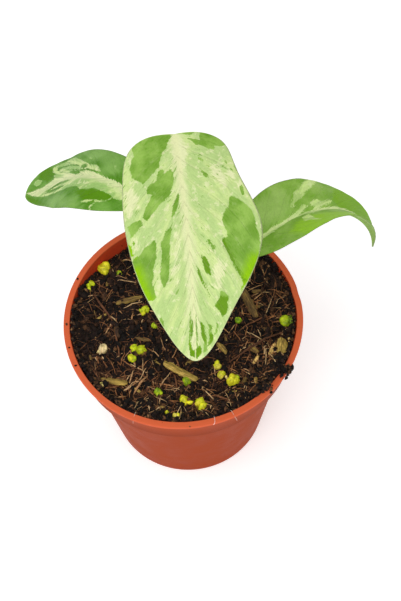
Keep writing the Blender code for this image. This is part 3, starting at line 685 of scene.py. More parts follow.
@dataclass(frozen=True)
class LeafFinish:
    """Colours and skin of one blade, and how far its pale patches outgrow their corners."""

    name: str
    slot: str
    pale: Colour = srgb(216, 237, 154)
    cream: Colour = srgb(242, 246, 190)
    mint: Colour = srgb(193, 222, 140)
    green: Colour = srgb(163, 205, 93)
    deep: Colour = srgb(112, 162, 44)
    lime: Colour = srgb(150, 206, 0)
    dark: Colour = srgb(104, 154, 0)
    rib: Colour = srgb(240, 244, 184)
    margin: Colour = srgb(222, 236, 170)
    margin_width: float = 0.35
    rib_width: float = 0.95
    rib_share: float = 0.9
    jag: float = 1.2
    freckles: float = 0.8
    vein_share: float = 0.22
    pale_growth: float = 0.0
    base_roughness: float = 0.46
    relief: float = 0.0003

    GROUP = "leaf_tissue"
    VECTORS = ("Tissue", "Place", "Border")
    DEPTHS = ("Dark Depth", "Cream Depth")
    COLOURS = ("Pale", "Cream", "Mint", "Green", "Deep", "Lime", "Dark", "Rib", "Margin")
    NUMBERS = (
        "Margin Width", "Rib Width", "Rib Share", "Jag", "Freckles", "Vein Share", "Base Roughness",
    )

    def material(self) -> Material:
        """Makes the blade's material from the shared tissue group."""
        material, g, shader = new_material(self.name, IOR=1.42, Specular_IOR_Level=0.16)
        tree = bpy.data.node_groups.get(self.GROUP) or self.build_group()
        tissue = g.add("ShaderNodeGroup", {}, node_tree=tree)
        for titles, output in ((self.VECTORS, "Vector"), (self.DEPTHS, "Fac")):
            for title in titles:
                source = g.attribute(as_field(title)).outputs[output]
                g.feed(tissue.inputs[title], source)
        for title in self.COLOURS + self.NUMBERS:
            g.feed(tissue.inputs[title], getattr(self, as_field(title)))
        looks = [tissue.outputs[title] for title in ("Color", "Roughness", "Height")]
        paint(g, shader, *looks, self.relief, 0.8)
        return material

    @staticmethod
    def streaks(g: Graph, vein: Value, out: Value, cells: Triple, rough: float = 0.6) -> Value:
        """Returns noise stretched along the side veins, by its cells across and along them."""
        place = g.vector(g.times(vein, cells[0]), g.times(out, cells[1]), cells[2])
        return g.noise(place, 1.0, 3.0, rough)

    @classmethod
    def build_group(cls) -> bpy.types.NodeTree:
        """Builds the node group that paints living leaf tissue.

        Green zones end where the field Tissue.x plus jagged noise passes zero. The
        noise is stretched along the side veins, along which Place.z stays the same,
        and soft noise bends it so that no two streaks run quite alike.

        Returns:
            The group.
        """
        inputs = {title: Socket.VECTOR for title in cls.VECTORS}
        inputs.update({title: Socket.COLOUR for title in cls.COLOURS})
        inputs.update({title: Socket.NUMBER for title in cls.DEPTHS + cls.NUMBERS})
        outputs = {"Color": Socket.COLOUR, "Roughness": Socket.NUMBER, "Height": Socket.NUMBER}
        tree, g, given, result = new_group(cls.GROUP, inputs, outputs)
        green_field, lime_field, mint_field = g.parts(given["Tissue"])
        along, out, vein = g.parts(given["Place"])
        edge, under, station = g.parts(given["Border"])
        skin, cream, mint, leaf, deep, lime, dark, rib, margin = (given[t] for t in cls.COLOURS)
        side = g.math("ABSOLUTE", out)

        # Noises, some of them along the side veins
        flat_place = g.vector(along, out)
        bent = g.swung(vein, g.noise(flat_place, 0.11, 2.0), 4.0)
        streaks = cls.streaks(g, bent, out, (0.55, 0.11, 0.0))
        fine = cls.streaks(g, bent, out, (1.8, 0.6, 7.0))
        marks = cls.streaks(g, bent, out, (0.95, 0.36, 3.0), 0.65)
        zones = cls.streaks(g, bent, out, (0.20, 0.13, 5.0), 0.55)
        cloud = g.noise(flat_place, 0.13, 3.0, 0.5)
        blots = g.noise(flat_place, 0.42, 4.0, 0.65)
        grain = g.noise(flat_place, 1.5, 3.0, 0.6)
        spots = g.plus(fine, blots)

        # Where the blade is green: the jagged zones, and freckles that crowd in clouds
        jagged = g.swung(green_field, g.plus(fine, g.times(grain, 0.7)), given["Jag"], 0.85)
        crowd = g.step(cloud, 0.38, 0.58, -0.04, 0.05)
        speck = g.step(g.plus(marks, crowd), 0.65, 0.69)
        mask = g.math("MAXIMUM", g.step(jagged, -0.09, 0.09), g.times(speck, given["Freckles"]))

        # Pale tissue: cream beside the midrib and in blots, mint in clouds and zones
        by_rib = g.swung(side, streaks, 3.0)
        pale = g.mix(g.step(by_rib, 0.5, 3.6, 0.85, 0.0), skin, cream)
        pale = g.wash(pale, cream, streaks, 0.50, 0.70, 0.3)
        minted = g.times(g.step(zones, 0.40, 0.56, 0.0, 0.9), g.step(side, 0.8, 3.0, 0.25, 1.0))
        pale = g.mix(minted, pale, mint)
        pale = g.wash(pale, mint, marks, 0.54, 0.62, 0.4)
        pale = g.wash(pale, cream, blots, 0.55, 0.63, 0.65)
        mint_edge = g.swung(mint_field, streaks, 6.0)
        pale = g.wash(pale, mint, mint_edge, -0.9, 1.2, 0.8)
        cream_edge = g.swung(given["Cream Depth"], spots, 6.0, 1.0)
        pale = g.wash(pale, cream, cream_edge, -1.0, 1.0, 0.9)

        # Green tissue: deeper in clouds and streaks, with mint, lime and dark zones
        depth = g.plus(g.step(cloud, 0.34, 0.64, 0.0, 0.75), g.step(fine, 0.46, 0.70, 0.0, 0.4))
        green = g.mix(depth, leaf, deep)
        green = g.wash(green, mint, blots, 0.56, 0.72, 0.25)
        green = g.wash(green, mint, mint_edge, -2.0, 2.0, 0.45)
        green = g.wash(green, lime, g.swung(lime_field, fine, 2.0), -1.6, 1.8)
        dark_edge = g.swung(given["Dark Depth"], spots, 2.5, 1.0)
        green = g.wash(green, dark, dark_edge, -0.5, 0.5, 0.9)
        colour = g.mix(mask, pale, green)

        # Faint lines along the side veins, 5.5 mm apart
        turn = g.math("FRACT", g.math("DIVIDE", vein, 5.5))
        line = g.step(g.math("ABSOLUTE", g.math("SUBTRACT", turn, 0.5)), 0.02, 0.09, 1.0, 0.0)
        line = g.times(line, g.step(edge, 0.5, 6.0))
        faint = g.times(g.times(line, g.step(blots, 0.35, 0.6)), g.step(mask, 0.0, 1.0, 1.0, 0.3))
        colour = g.mix(g.times(faint, given["Vein Share"]), colour, rib)

        # The midrib, which narrows towards the tip, and the thin margin
        reach = g.times(g.math("SUBTRACT", 1.2, station), g.step(blots, 0.3, 0.7, 0.6, 1.4))
        from_rib = g.math("DIVIDE", side, g.times(given["Rib Width"], reach))
        rib_edge = g.swung(from_rib, streaks, 0.3)
        broken = g.times(given["Rib Share"], g.step(marks, 0.36, 0.60, 1.0, 0.7))
        ribbed = g.times(g.step(rib_edge, 0.45, 1.15, 1.0, 0.0), broken)
        colour = g.mix(ribbed, colour, rib)
        from_margin = g.math("DIVIDE", edge, given["Margin Width"])
        colour = g.mix(g.step(from_margin, 0.4, 1.0, 0.8, 0.0), colour, margin)

        # A paler underside, and the skin's grain
        colour = g.mix(under, colour, g.mix(0.45, colour, srgb(172, 200, 132)))
        lines = g.times(g.step(fine, 0.3, 0.7, -0.07, 0.06), g.step(side, 1.2, 3.4))
        tone = g.times(g.step(grain, 0.2, 0.8, 0.94, 1.05), g.plus(lines, 1.0))
        rough = g.swung(given["Base Roughness"], grain, 0.16)
        rough = g.math("MULTIPLY_ADD", under, 0.18, rough)
        soft = g.times(streaks, g.step(side, 0.6, 2.4, 0.2, 0.9))
        height = g.math("MULTIPLY_ADD", line, -0.5, g.plus(grain, soft))
        g.feed(result.inputs["Color"], g.shade(colour, tone))
        g.feed(result.inputs["Roughness"], rough)
        g.feed(result.inputs["Height"], height)
        return tree


@dataclass
class Blade:
    """One leaf blade: a thin closed sheet that follows its curved midrib.

    Headings, pitches and rolls are degrees at the base, the middle and the tip. Folds
    and curls are values at the base and the tip, in degrees and in radians per metre.
    """

    name: str
    base: Triple
    length: float
    headings: Triple
    pitches: Triple
    rolls: Triple
    folds: Pair
    curls: Pair
    right_widths: tuple[float, ...]
    left_widths: tuple[float, ...]
    wave: float
    wave_count: float
    finish: LeafFinish
    ground: Tissue
    patches: tuple[Patch, ...]
    creases: tuple[Crease, ...] = ()
    lobe: float = 0.0029
    lobe_power: float = 1.5
    lobe_fade: float = 0.15
    wave_power: float = 3.0
    wave_offset: float = 2.0
    thickness: float = 0.0006
    margin_power: float = 14.0
    rib_depth: float = 0.0016
    rib_spread: float = 0.0011
    rib_fade: float = 0.8
    channel_depth: float = 0.00030
    channel_spread: float = 0.0009
    vein_spacing: float = 0.0055
    vein_depth: float = 0.00010
    vein_bend: float = 1.5
    vein_bend_reach: float = 0.0045
    vein_leans: Pair = (0.45, 1.6)
    vein_start: float = 0.004
    ripple_start: float = 0.003
    ripple_cells: Pair = (0.011, 0.0045)
    ripple_heights: Pair = (0.00035, 0.00012)
    rows: int = 150
    columns: int = 72
    outline_steps: int = 90
    seed: int = 3

    def station(self, along: Array) -> Array:
        """Returns the share of the midrib's length at distances along it."""
        return rise(along, 0.0, self.length)

    def midrib_direction(self, along: Array) -> Array:
        """Returns the midrib's unit direction at distances along it."""
        t = self.station(along)
        heading, pitch = (np.radians(through_three(v, t)) for v in (self.headings, self.pitches))
        return columns(*on_circle(np.cos(pitch), heading), np.sin(pitch))

    def frame_at(self, along: Array) -> tuple[Array, Array, Array]:
        """Returns the midrib's points, and the sideways and upward directions there.

        The points are the running sum of short steps in the midrib's direction. The
        level direction lies across the heading and the upright one square to both, and
        the roll turns this pair about the midrib.

        Args:
            along: Distances along the midrib.

        Returns:
            Points, sideways directions and upward directions.
        """
        line = np.linspace(-0.2 * self.length, self.length, 240)
        direction = self.midrib_direction(line)
        moves = (direction[:-1] + direction[1:]) * ((line[1] - line[0]) / 2)
        points = np.vstack([np.zeros(3), np.cumsum(moves, axis=0)])
        start = np.array([np.interp(0.0, line, points[:, axis]) for axis in range(3)])
        points = points - start + np.array(self.base)
        spine = columns(*[np.interp(along, line, points[:, axis]) for axis in range(3)])
        t = self.station(along)
        heading = np.radians(through_three(self.headings, t))
        level = columns(-np.sin(heading), np.cos(heading), 0 * heading)
        upright = np.cross(self.midrib_direction(along), level)
        roll = np.radians(through_three(self.rolls, t))[..., None]
        sideways = level * np.cos(roll) + upright * np.sin(roll)
        return spine, sideways, upright * np.cos(roll) - level * np.sin(roll)

    def flat_place(self, turn: Array, across: Array) -> tuple[Array, Array]:
        """Returns where a place lies on the flat blade.

        A spline gives the half width. Near the base the margins reach back past the
        stalk, which makes the two rounded lobes.

        Args:
            turn: 0 at the base and pi at the tip.
            across: -1 at the right margin and 1 at the left one.

        Returns:
            Distances along the midrib and out from it.
        """
        t = (1 - np.cos(turn)) / 2
        angles = np.radians(np.arange(7) * 30.0)
        right = smooth_curve(angles, np.array((0, *self.right_widths, 0)), turn)
        left = smooth_curve(angles, np.array((0, *self.left_widths, 0)), turn)
        reach_back = 2 * self.lobe * np.abs(across) ** self.lobe_power * np.sin(turn)
        along = self.length * t - reach_back * np.exp(-t / self.lobe_fade)
        return along, np.where(across < 0, right, left) * across

    def flat_corners(self, corners: Corners) -> Array:
        """Returns the flat places of corners that are given in hundredths."""
        share = np.array(corners, float).reshape(-1, 2) / 100
        along, out = self.flat_place(np.arccos(1 - 2 * np.clip(share[:, 0], 0, 1)), share[:, 1])
        return columns(along, out)

    def vein_place(self, along: Array, out: Array) -> Array:
        """Returns where the side vein through a place leaves the midrib.

        The veins lean further towards the tip, the nearer they are to it. Each one
        starts out close beside the midrib and bends away from it.

        Args:
            along: Distances along the midrib.
            out: Distances out from it.

        Returns:
            Distances along the midrib.
        """
        bend = 1 + self.vein_bend * np.exp(-np.abs(out) / self.vein_bend_reach)
        lean = self.vein_leans[0] + self.vein_leans[1] * self.station(along)
        return along - np.abs(out) * bend * lean

    def relief(self, along: Array, out: Array) -> Array:
        """Returns the height of the blade's fine relief over its smooth surface.

        A channel runs along the midrib, the skin dips along each side vein, two sizes
        of soft noise make it uneven, and creases press it in.

        Args:
            along: Distances along the midrib.
            out: Distances out from it.

        Returns:
            The height in metres.
        """
        shallower = 1 - 0.7 * self.station(along)
        channel = -self.channel_depth * shallower * bell(out, self.channel_spread)
        swing = np.cos(TURN * self.vein_place(along, out) / self.vein_spacing)
        away = 1 - bell(out, self.vein_start)
        veins = self.vein_depth * away * (0.5 - 0.5 * swing) ** 0.6
        ripple = sum(
            height * value_noise(along, out, cell, self.seed + number)
            for number, (cell, height) in enumerate(zip(self.ripple_cells, self.ripple_heights))
        )
        fold = sum(
            crease.depth * bell(self.from_crease(crease, along, out), crease.spread)
            for crease in self.creases
        )
        return channel + veins + ripple * np.minimum(1.0, np.abs(out) / self.ripple_start) - fold

    def from_crease(self, crease: Crease, along: Array, out: Array) -> Array:
        """Returns the distance on the flat blade to the nearest side of a crease's line."""
        line = self.flat_corners(crease.corners)
        sides = [side_distance(along, out, *ends) for ends in zip(line[:-1], line[1:])]
        return np.minimum.reduce(sides)

    def rings(self) -> tuple[Array, Array, Array, Array]:
        """Works out the sheet as rings that run over the top and back underneath.

        At a distance s from the midrib the cross-section's slope is fold + curl * s, so
        each half is an arc of a circle. A sine wave lifts and lowers the margins. Both
        faces keep half the thickness to the middle one, and meet at the margins.

        Returns:
            Ring points, flat places along and out, and 1 where the face is the lower one.
        """
        turn = np.linspace(0.0, math.pi, self.rows + 2)[1:-1, None] * np.ones(2 * self.columns)
        over = np.linspace(-1.0, 1.0, self.columns + 1)
        across = np.concatenate([over, over[-2:0:-1]]) * np.ones((self.rows, 1))
        under = np.zeros_like(across)
        under[:, self.columns + 1 :] = 1.0
        along, out = self.flat_place(turn, across)
        spine, sideways, upward = self.frame_at(along)
        station = self.station(along)
        fold = np.radians(self.folds[0] * (1 - station) + self.folds[1] * station)
        curl = self.curls[0] * (1 - station) + self.curls[1] * station
        slope = fold + curl * np.abs(out)
        reach = (np.sin(slope) - np.sin(fold)) / curl
        lift = (np.cos(fold) - np.cos(slope)) / curl
        t = (1 - np.cos(turn)) / 2
        wave_turn = TURN * self.wave_count * t + self.wave_offset * (across > 0)
        wave = self.wave * np.abs(across) ** self.wave_power * np.sin(wave_turn) * np.sin(turn)
        side = np.sign(across)
        surface = spine + sideways * (side * reach)[..., None] + upward * (lift + wave)[..., None]
        tilt = (side * slope)[..., None]
        normals = upward * np.cos(tilt) - sideways * np.sin(tilt)
        rib = self.rib_depth * (1 - t) ** self.rib_fade * bell(out, self.rib_spread)
        half = self.thickness / 2 * np.sqrt(1 - np.abs(across) ** self.margin_power)
        below = self.thickness / 2 + np.where(under > 0, half + rib, -half)
        height = self.relief(along, out) * np.sqrt(np.sin(turn)) - below
        return (surface + normals * height[..., None])[None], along, out, under

    def tissue_fields(self, along: Array, out: Array) -> Array:
        """Returns how deep each place lies inside the green, lime, mint, dark and cream zones.

        Later patches lie over earlier ones: green adds to the green field and pale cuts
        into it. Each crease adds a narrow band to the green and dark fields, partly painted shade
        of the fold.

        Args:
            along: Distances along the midrib.
            out: Distances out from it.

        Returns:
            Five depths for each place, in millimetres.
        """
        far = 50 * MM
        over = (Tissue.LIME, Tissue.MINT, Tissue.DARK, Tissue.CREAM)
        fields = {kind: np.full(along.shape, -far) for kind in over}
        green = np.full(along.shape, far if self.ground is Tissue.GREEN else -far)
        for patch in self.patches:
            depth = inside_distance(along, out, self.flat_corners(patch.corners))
            if patch.tissue is Tissue.GREEN:
                green = np.maximum(green, depth)
            elif patch.tissue is Tissue.PALE:
                green = np.minimum(green, -depth - self.finish.pale_growth)
            else:
                fields[patch.tissue] = np.maximum(fields[patch.tissue], depth)
        # Painted shade: a dark green band along each crease, for the fold's shadow and a green
        # zone's edge.
        for crease in self.creases:
            near = 0.8 * crease.spread - self.from_crease(crease, along, out)
            fields[Tissue.DARK] = np.maximum(fields[Tissue.DARK], near)
            green = np.maximum(green, near)
        return columns(green, *fields.values()) / MM

    def build(self) -> Piece:
        """Makes the blade's mesh and dresses it."""
        rings, along, out, under = self.rings()
        turn = np.linspace(0.0, math.pi, self.outline_steps)
        margin = np.ones(self.outline_steps)
        sides = [self.flat_place(turn, -margin), self.flat_place(turn[::-1], margin)]
        outline = np.concatenate([columns(*side) for side in sides])
        edge = np.maximum(inside_distance(along, out, outline), 0.0) / MM
        place = columns(along / MM, out / MM, self.vein_place(along, out) / MM)
        border = columns(edge, under, self.station(along))
        points, faces = loft(rings)
        depths = with_ends(self.tissue_fields(along, out)[None])
        attributes = {
            "tissue": depths[:, :3],
            "dark_depth": depths[:, 3],
            "cream_depth": depths[:, 4],
            "place": with_ends(place[None]),
            "border": with_ends(border[None]),
        }
        name = "leaf_" + self.name + "_blade"
        obj = make_piece(name, points, faces, self.finish.material(), attributes)
        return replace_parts(obj, "leaf_" + self.name)


def patches(tissue: Tissue, *outlines: Corners) -> tuple[Patch, ...]:
    """Returns patches of one tissue."""
    return tuple(Patch(tissue, outline) for outline in outlines)


CENTRE_GREEN = patches(
    Tissue.GREEN,
    # The right side of the blade, which is the photo's left
    (0,-74, 1,-98, 2,-104, 4,-104, 7,-96, 10,-84, 11,-88, 13,-86, 15,-88, 19,-82, 20,-74, 22,-63,
     20,-55, 17,-43, 15,-34, 13,-35, 9,-30, 7,-22, 3,-22),
    (16,-32, 17,-28, 19,-27, 17,-17, 17,-13, 22,-12, 25,-16, 28,-20, 31,-31, 32,-38, 35,-48,
     39,-62, 37,-68, 34,-64, 30,-56, 27,-50, 27,-58, 25,-58, 23,-54, 22,-48, 22,-42, 19,-39,
     17,-36),
    (28,-9, 29,-6, 33,-9, 37,-16, 40,-23, 37,-22, 33,-18, 30,-12),
    (40,-95, 38,-82, 38,-72, 40,-68, 41,-75, 43,-81, 45,-92, 43,-92),
    (46,-91, 47,-85, 48,-88, 49,-91),
    (47,-97, 49,-94, 53,-94, 53,-104, 50,-104),
    (50,-73, 49,-62, 47,-55, 48,-52, 52,-54, 54,-55, 57,-60, 60,-67, 63,-68, 65,-74, 69,-76,
     72,-78, 73,-88, 73,-104, 69,-104, 64,-104, 60,-104, 57,-104, 54,-94, 53,-84, 52,-78),
    (41,-22, 43,-24, 48,-29, 54,-33, 60,-38, 65,-44, 68,-55, 66,-58, 62,-57, 58,-51, 54,-46,
     49,-45, 47,-40, 44,-34, 43,-27),
    (80,-88, 82,-87, 85,-99, 85,-104, 82,-98),
    # The left side of the blade, which is the photo's right
    (3,35, 5,58, 2,88, 2,104, 4,104, 7,98, 9,99, 10,97, 10,88, 9,77, 11,74, 10,62, 8,55, 7,43,
     5,39, 4,35),
    (0,98, 1,104, 2,55, 1,48),
    (13,38, 15,48, 16,45, 14,37),
    (17,51, 19,54, 19,52, 18,49),
    (18,34, 20,41, 22,48, 24,48, 23,42, 20,36),
    (19,76, 19,80, 20,78, 20,75),
    (17,85, 18,88, 19,87, 18,84),
    (21,90, 22,92, 23,92, 22,88),
    (19,99, 19,104, 22,104, 23,97, 21,97),
    (29,95, 31,95, 33,93, 34,88, 32,88, 30,90),
    (33,70, 34,77, 36,84, 38,88, 40,92, 43,92, 48,92, 50,95, 53,97, 56,98, 61,104, 64,104, 68,99,
     71,95, 68,92, 67,88, 64,77, 60,64, 56,55, 53,48, 50,47, 50,52, 48,53, 46,50, 43,48, 40,53,
     38,59, 38,64, 37,62, 35,66),
    (55,14, 57,23, 59,27, 61,29, 65,33, 63,23, 61,20, 59,18),
    (50,23, 50,29, 52,32, 53,37, 55,35, 53,30, 51,25),
    (70,55, 71,63, 73,78, 75,76, 77,86, 79,87, 81,82, 78,66, 76,50, 74,54, 73,57, 71,54),
    (59,7, 62,13, 65,18, 69,27, 73,35, 70,26, 66,15, 63,10),
    (82,17, 84,31, 90,50, 92,49, 88,26),
    (83,43, 84,57, 87,63, 88,75, 91,84, 93,68, 88,58),
    (82,69, 84,80, 87,84, 88,77, 85,74),
    (81,-7, 82,-3, 88,-8, 92,-22, 86,-14),
    (90,-28, 92,-18, 95,-19, 94,4, 92,27, 96,48, 99,22, 97,-50),
    (79,5, 86,9, 93,16, 98,30, 95,12, 88,4),
    (76,-8, 84,-16, 92,-32, 96,-44, 90,-22, 83,-9),
    (86,42, 91,56, 95,80, 96,58, 91,42),
)
CENTRE_MINT = patches(
    Tissue.MINT,
    (75,-68, 76,-67, 80,-78, 77,-75),
    (62,9, 68,19, 72,31, 78,31, 78,13, 70,6, 66,10),
    (58,-16, 58,-11, 65,-14, 67,-22),
    (15,15, 20,18, 24,12, 21,10),
    (30,57, 31,65, 35,56, 37,53, 34,51),
)
CENTRE_LIME = patches(
    Tissue.LIME,
    (57,-86, 60,-84, 68,-84, 75,-80, 75,-104, 66,-108, 58,-108),
    (46,-90, 54,-88, 54,-108, 46,-108),
    (58,84, 66,82, 72,92, 70,104, 64,108, 56,108),
    (66,76, 74,96, 70,104, 62,92),
    (90,-40, 93,20, 97,60, 100,0, 98,-60),
)
CENTRE_DARK = patches(
    Tissue.DARK,
    (72,55, 73,78, 77,92, 81,84, 79,62, 76,50),
    (82,17, 84,31, 90,50, 92,49, 88,26),
    (84,60, 87,63, 88,75, 91,84, 93,68, 88,58),
    (90,-28, 92,-18, 95,-19, 94,4, 92,27, 96,48, 99,22, 97,-50),
    (81,-7, 82,-3, 88,-8, 92,-22, 86,-14),
    (54,12, 56,23, 59,29, 61,31, 66,35, 63,23, 61,18, 58,14),
    (60,6, 62,15, 65,20, 69,29, 74,37, 70,24, 66,13, 63,8),
)
CENTRE_CREAM = patches(
    Tissue.CREAM,
    (0,-12, 0,20, 8,24, 14,12, 20,4, 12,-8),
    (18,56, 20,70, 24,78, 28,74, 27,62, 22,54),
    (21,84, 24,92, 29,94, 26,84),
    (23,-84, 26,-94, 33,-96, 36,-88, 32,-76, 27,-74),
    (45,-84, 46,-90, 50,-92, 51,-86, 48,-78),
    (42,-16, 50,-22, 60,-30, 66,-34, 60,-24, 50,-16),
    (58,42, 62,52, 70,52, 68,40, 62,34),
)
LEFT_PALE = patches(
    Tissue.PALE,
    (0,-12, 14,-6, 20,-7, 25,-4, 30,-8, 36,-12, 42,-16, 47,-14, 60,-31, 73,-42, 76,-37, 74,-20,
     80,-11, 85,-6, 91,-11, 99,-37, 94,26, 85,48, 74,53, 63,50, 54,45, 48,38, 41,37, 37,44, 31,40,
     27,35, 23,38, 18,40, 15,49, 12,55, 9,50, 0,20),
    (79,-82, 74,-81, 69,-82, 66,-87, 61,-81, 52,-57, 43,-39, 37,-37, 32,-26, 30,-16, 35,-17,
     41,-21, 48,-20, 60,-33, 68,-40, 73,-34, 79,-61),
    (94,-61, 91,-68, 86,-40, 87,-31, 91,-31),
    (31,78, 27,70, 24,71, 27,79, 30,82),
    (22,75, 23,90, 23,104, 24,97, 24,83),
    (24,70, 18,65, 15,52, 15,58, 19,71, 23,73),
    (47,-68, 46,-67, 44,-59, 46,-59),
    (26,-52, 25,-55, 24,-48, 24,-44),
)
LEFT_SLITS = patches(
    Tissue.GREEN,
    (80,27, 73,16, 65,8, 52,12, 56,18, 63,19, 70,23, 76,33),
    (83,36, 74,30, 65,28, 55,28, 57,34, 63,39, 73,42),
    (71,-65, 63,-55, 53,-43, 51,-35, 62,-48, 70,-55, 74,-52, 75,-68),
    (50,-38, 46,-42, 43,-32, 45,-22, 49,-28),
    (59,-25, 54,-23, 48,-15, 46,-7, 50,-4, 57,-15),
)
LEFT_DARK = patches(
    Tissue.DARK,
    (40,51, 34,44, 25,40, 17,37, 12,47, 18,68, 23,75, 31,73),
    (89,-104, 84,-104, 77,-60, 76,-27, 81,-21, 89,-70),
    (99,0, 90,59, 72,92, 82,104, 95,104),
)
LEFT_MINT = patches(
    Tissue.MINT,
    (72,66, 47,66, 30,80, 28,104, 47,104, 67,104),
    (60,-104, 43,-104, 30,-104, 22,-73, 20,-27, 28,-14, 34,-52, 47,-62),
)
RIGHT_PALE = patches(
    Tissue.PALE,
    (0,-2, 0,-12, 13,-13, 18,-12, 22,-9, 27,0, 31,2, 35,9, 38,17, 37,22, 35,17, 32,8, 27,4, 22,1,
     18,2, 13,0),
    (47,97, 51,104, 48,84, 45,70, 41,57, 39,45, 35,39, 33,32, 31,25, 31,28, 34,43, 35,49, 36,61,
     39,62, 41,73, 43,86),
    (41,23, 44,29, 46,28, 43,14, 41,14),
    (43,12, 47,22, 51,27, 53,28, 51,19, 46,12, 41,3),
    (35,-12, 39,-2, 44,1, 49,3, 55,4, 62,3, 68,0, 62,-5, 55,-8, 48,-14, 43,-18, 38,-20),
    (32,-21, 35,-19, 35,-53, 36,-70, 34,-56, 31,-43),
)
RIGHT_LIME = patches(
    Tissue.LIME,
    (22,-60, 28,-30, 34,-30, 45,-50, 58,-60, 62,-104, 45,-104, 28,-104),
)
RIGHT_MINT = patches(
    Tissue.MINT,
    (13,10, 15,90, 28,88, 34,68, 31,33, 26,14, 19,12),
)
RIGHT_DARK = patches(
    Tissue.DARK,
    (54,30, 60,104, 70,104, 85,104, 99,60, 99,-104, 80,-104, 66,-60, 61,-3, 56,8),
)
# The fold beside the midrib; its dark band is partly painted shade.
CENTRE_CREASE = Crease((50,47, 53,49, 56,56, 60,65, 64,78, 67,91), 0.0009, 0.0006)


def make_blades() -> tuple[Blade, Blade, Blade]:
    """Returns the three blades with their colours and places."""
    centre = Blade(
        name="centre", base=(0.0016, 0.0147, POT_HEIGHT + 0.0974), length=0.0770,
        headings=(-86.0, -88.7, -94.5), pitches=(-2.5, -16.8, -62.4), rolls=(-3.0, 7.9, -0.6),
        folds=(0.0, 4.7), curls=(-9.0, -8.0),
        right_widths=(0.0146, 0.0193, 0.0193, 0.0136, 0.0056),
        left_widths=(0.0146, 0.0185, 0.0232, 0.0136, 0.0056), wave=0.0005, wave_count=3.5,
        finish=LeafFinish("leaf_skin_pale", "leaf_pale"), ground=Tissue.PALE,
        patches=CENTRE_GREEN + CENTRE_MINT + CENTRE_LIME + CENTRE_DARK + CENTRE_CREAM,
        creases=(CENTRE_CREASE,),
    )
    left = Blade(
        name="left", base=(-0.0115, 0.0122, POT_HEIGHT + 0.0640), length=0.0603,
        headings=(143.0, 150.0, 174.8), pitches=(34.7, -41.8, -33.5), rolls=(-0.9, -1.3, -3.9),
        folds=(0.0, 2.0), curls=(-9.4, -8.3),
        right_widths=(0.0068, 0.0116, 0.0123, 0.0105, 0.0064),
        left_widths=(0.0070, 0.0135, 0.0141, 0.0096, 0.0044), wave=0.0003, wave_count=2.5,
        finish=LeafFinish(
            "leaf_skin_left", "leaf_green", green=srgb(128, 178, 76), deep=srgb(80, 140, 14),
            mint=srgb(160, 202, 112), dark=srgb(92, 146, 0), margin=srgb(104, 132, 50),
            margin_width=0.22, rib_share=0.0, jag=1.7, freckles=1.0, vein_share=0.04,
        ),
        ground=Tissue.GREEN, patches=LEFT_PALE + LEFT_SLITS + LEFT_DARK + LEFT_MINT, seed=21,
    )
    right = Blade(
        name="right", base=(0.0223, -0.0001, POT_HEIGHT + 0.0453), length=0.0750,
        headings=(27.7, 16.5, -30.4), pitches=(27.3, -28.4, -90.9), rolls=(8.9, -21.8, -10.9),
        folds=(32.3, 11.3), curls=(-7.4, -3.4),
        right_widths=(0.0071, 0.0147, 0.0120, 0.0064, 0.0014),
        left_widths=(0.0076, 0.0139, 0.0132, 0.0070, 0.0015), wave=0.0003, wave_count=2.5,
        finish=LeafFinish(
            "leaf_skin_right", "leaf_green", green=srgb(166, 206, 98), deep=srgb(126, 178, 50),
            mint=srgb(184, 216, 124), pale=srgb(216, 244, 146), cream=srgb(234, 250, 176),
            rib=srgb(236, 250, 180), lime=srgb(158, 210, 50), dark=srgb(132, 186, 20),
            margin=srgb(104, 132, 50), margin_width=0.22, rib_width=0.6, rib_share=0.6, jag=2.3,
            pale_growth=0.0003, vein_share=0.04,
        ),
        ground=Tissue.GREEN, patches=RIGHT_PALE + RIGHT_LIME + RIGHT_MINT + RIGHT_DARK, seed=33,
    )
    return centre, left, right


# Stem and stalks


@dataclass(frozen=True)
class StalkFinish:
    """Green skin of the stem and the stalks, browner towards the soil."""

    top: Colour = srgb(150, 190, 90)
    foot: Colour = srgb(128, 150, 70)
    scar: Colour = srgb(170, 165, 110)
    browned: float = 22.0

    def material(self) -> Material:
        """Makes the material: fine lengthwise streaks, and a browner foot."""
        material, g, shader = new_material("stalk_skin")
        place = g.place()
        x, y, z = g.parts(place)
        lengthwise = g.vector(x, y, g.times(z, 0.12))
        streaks = g.noise(lengthwise, 1.6, 3.0, 0.6)
        level = SOIL_LEVEL / MM
        colour = g.wash(self.foot, self.top, z, level, level + self.browned)
        colour = g.wash(colour, self.scar, streaks, 0.5, 0.8, 0.5)
        paint(g, shader, colour, 0.45, streaks, 0.0001, 0.5)
        return material


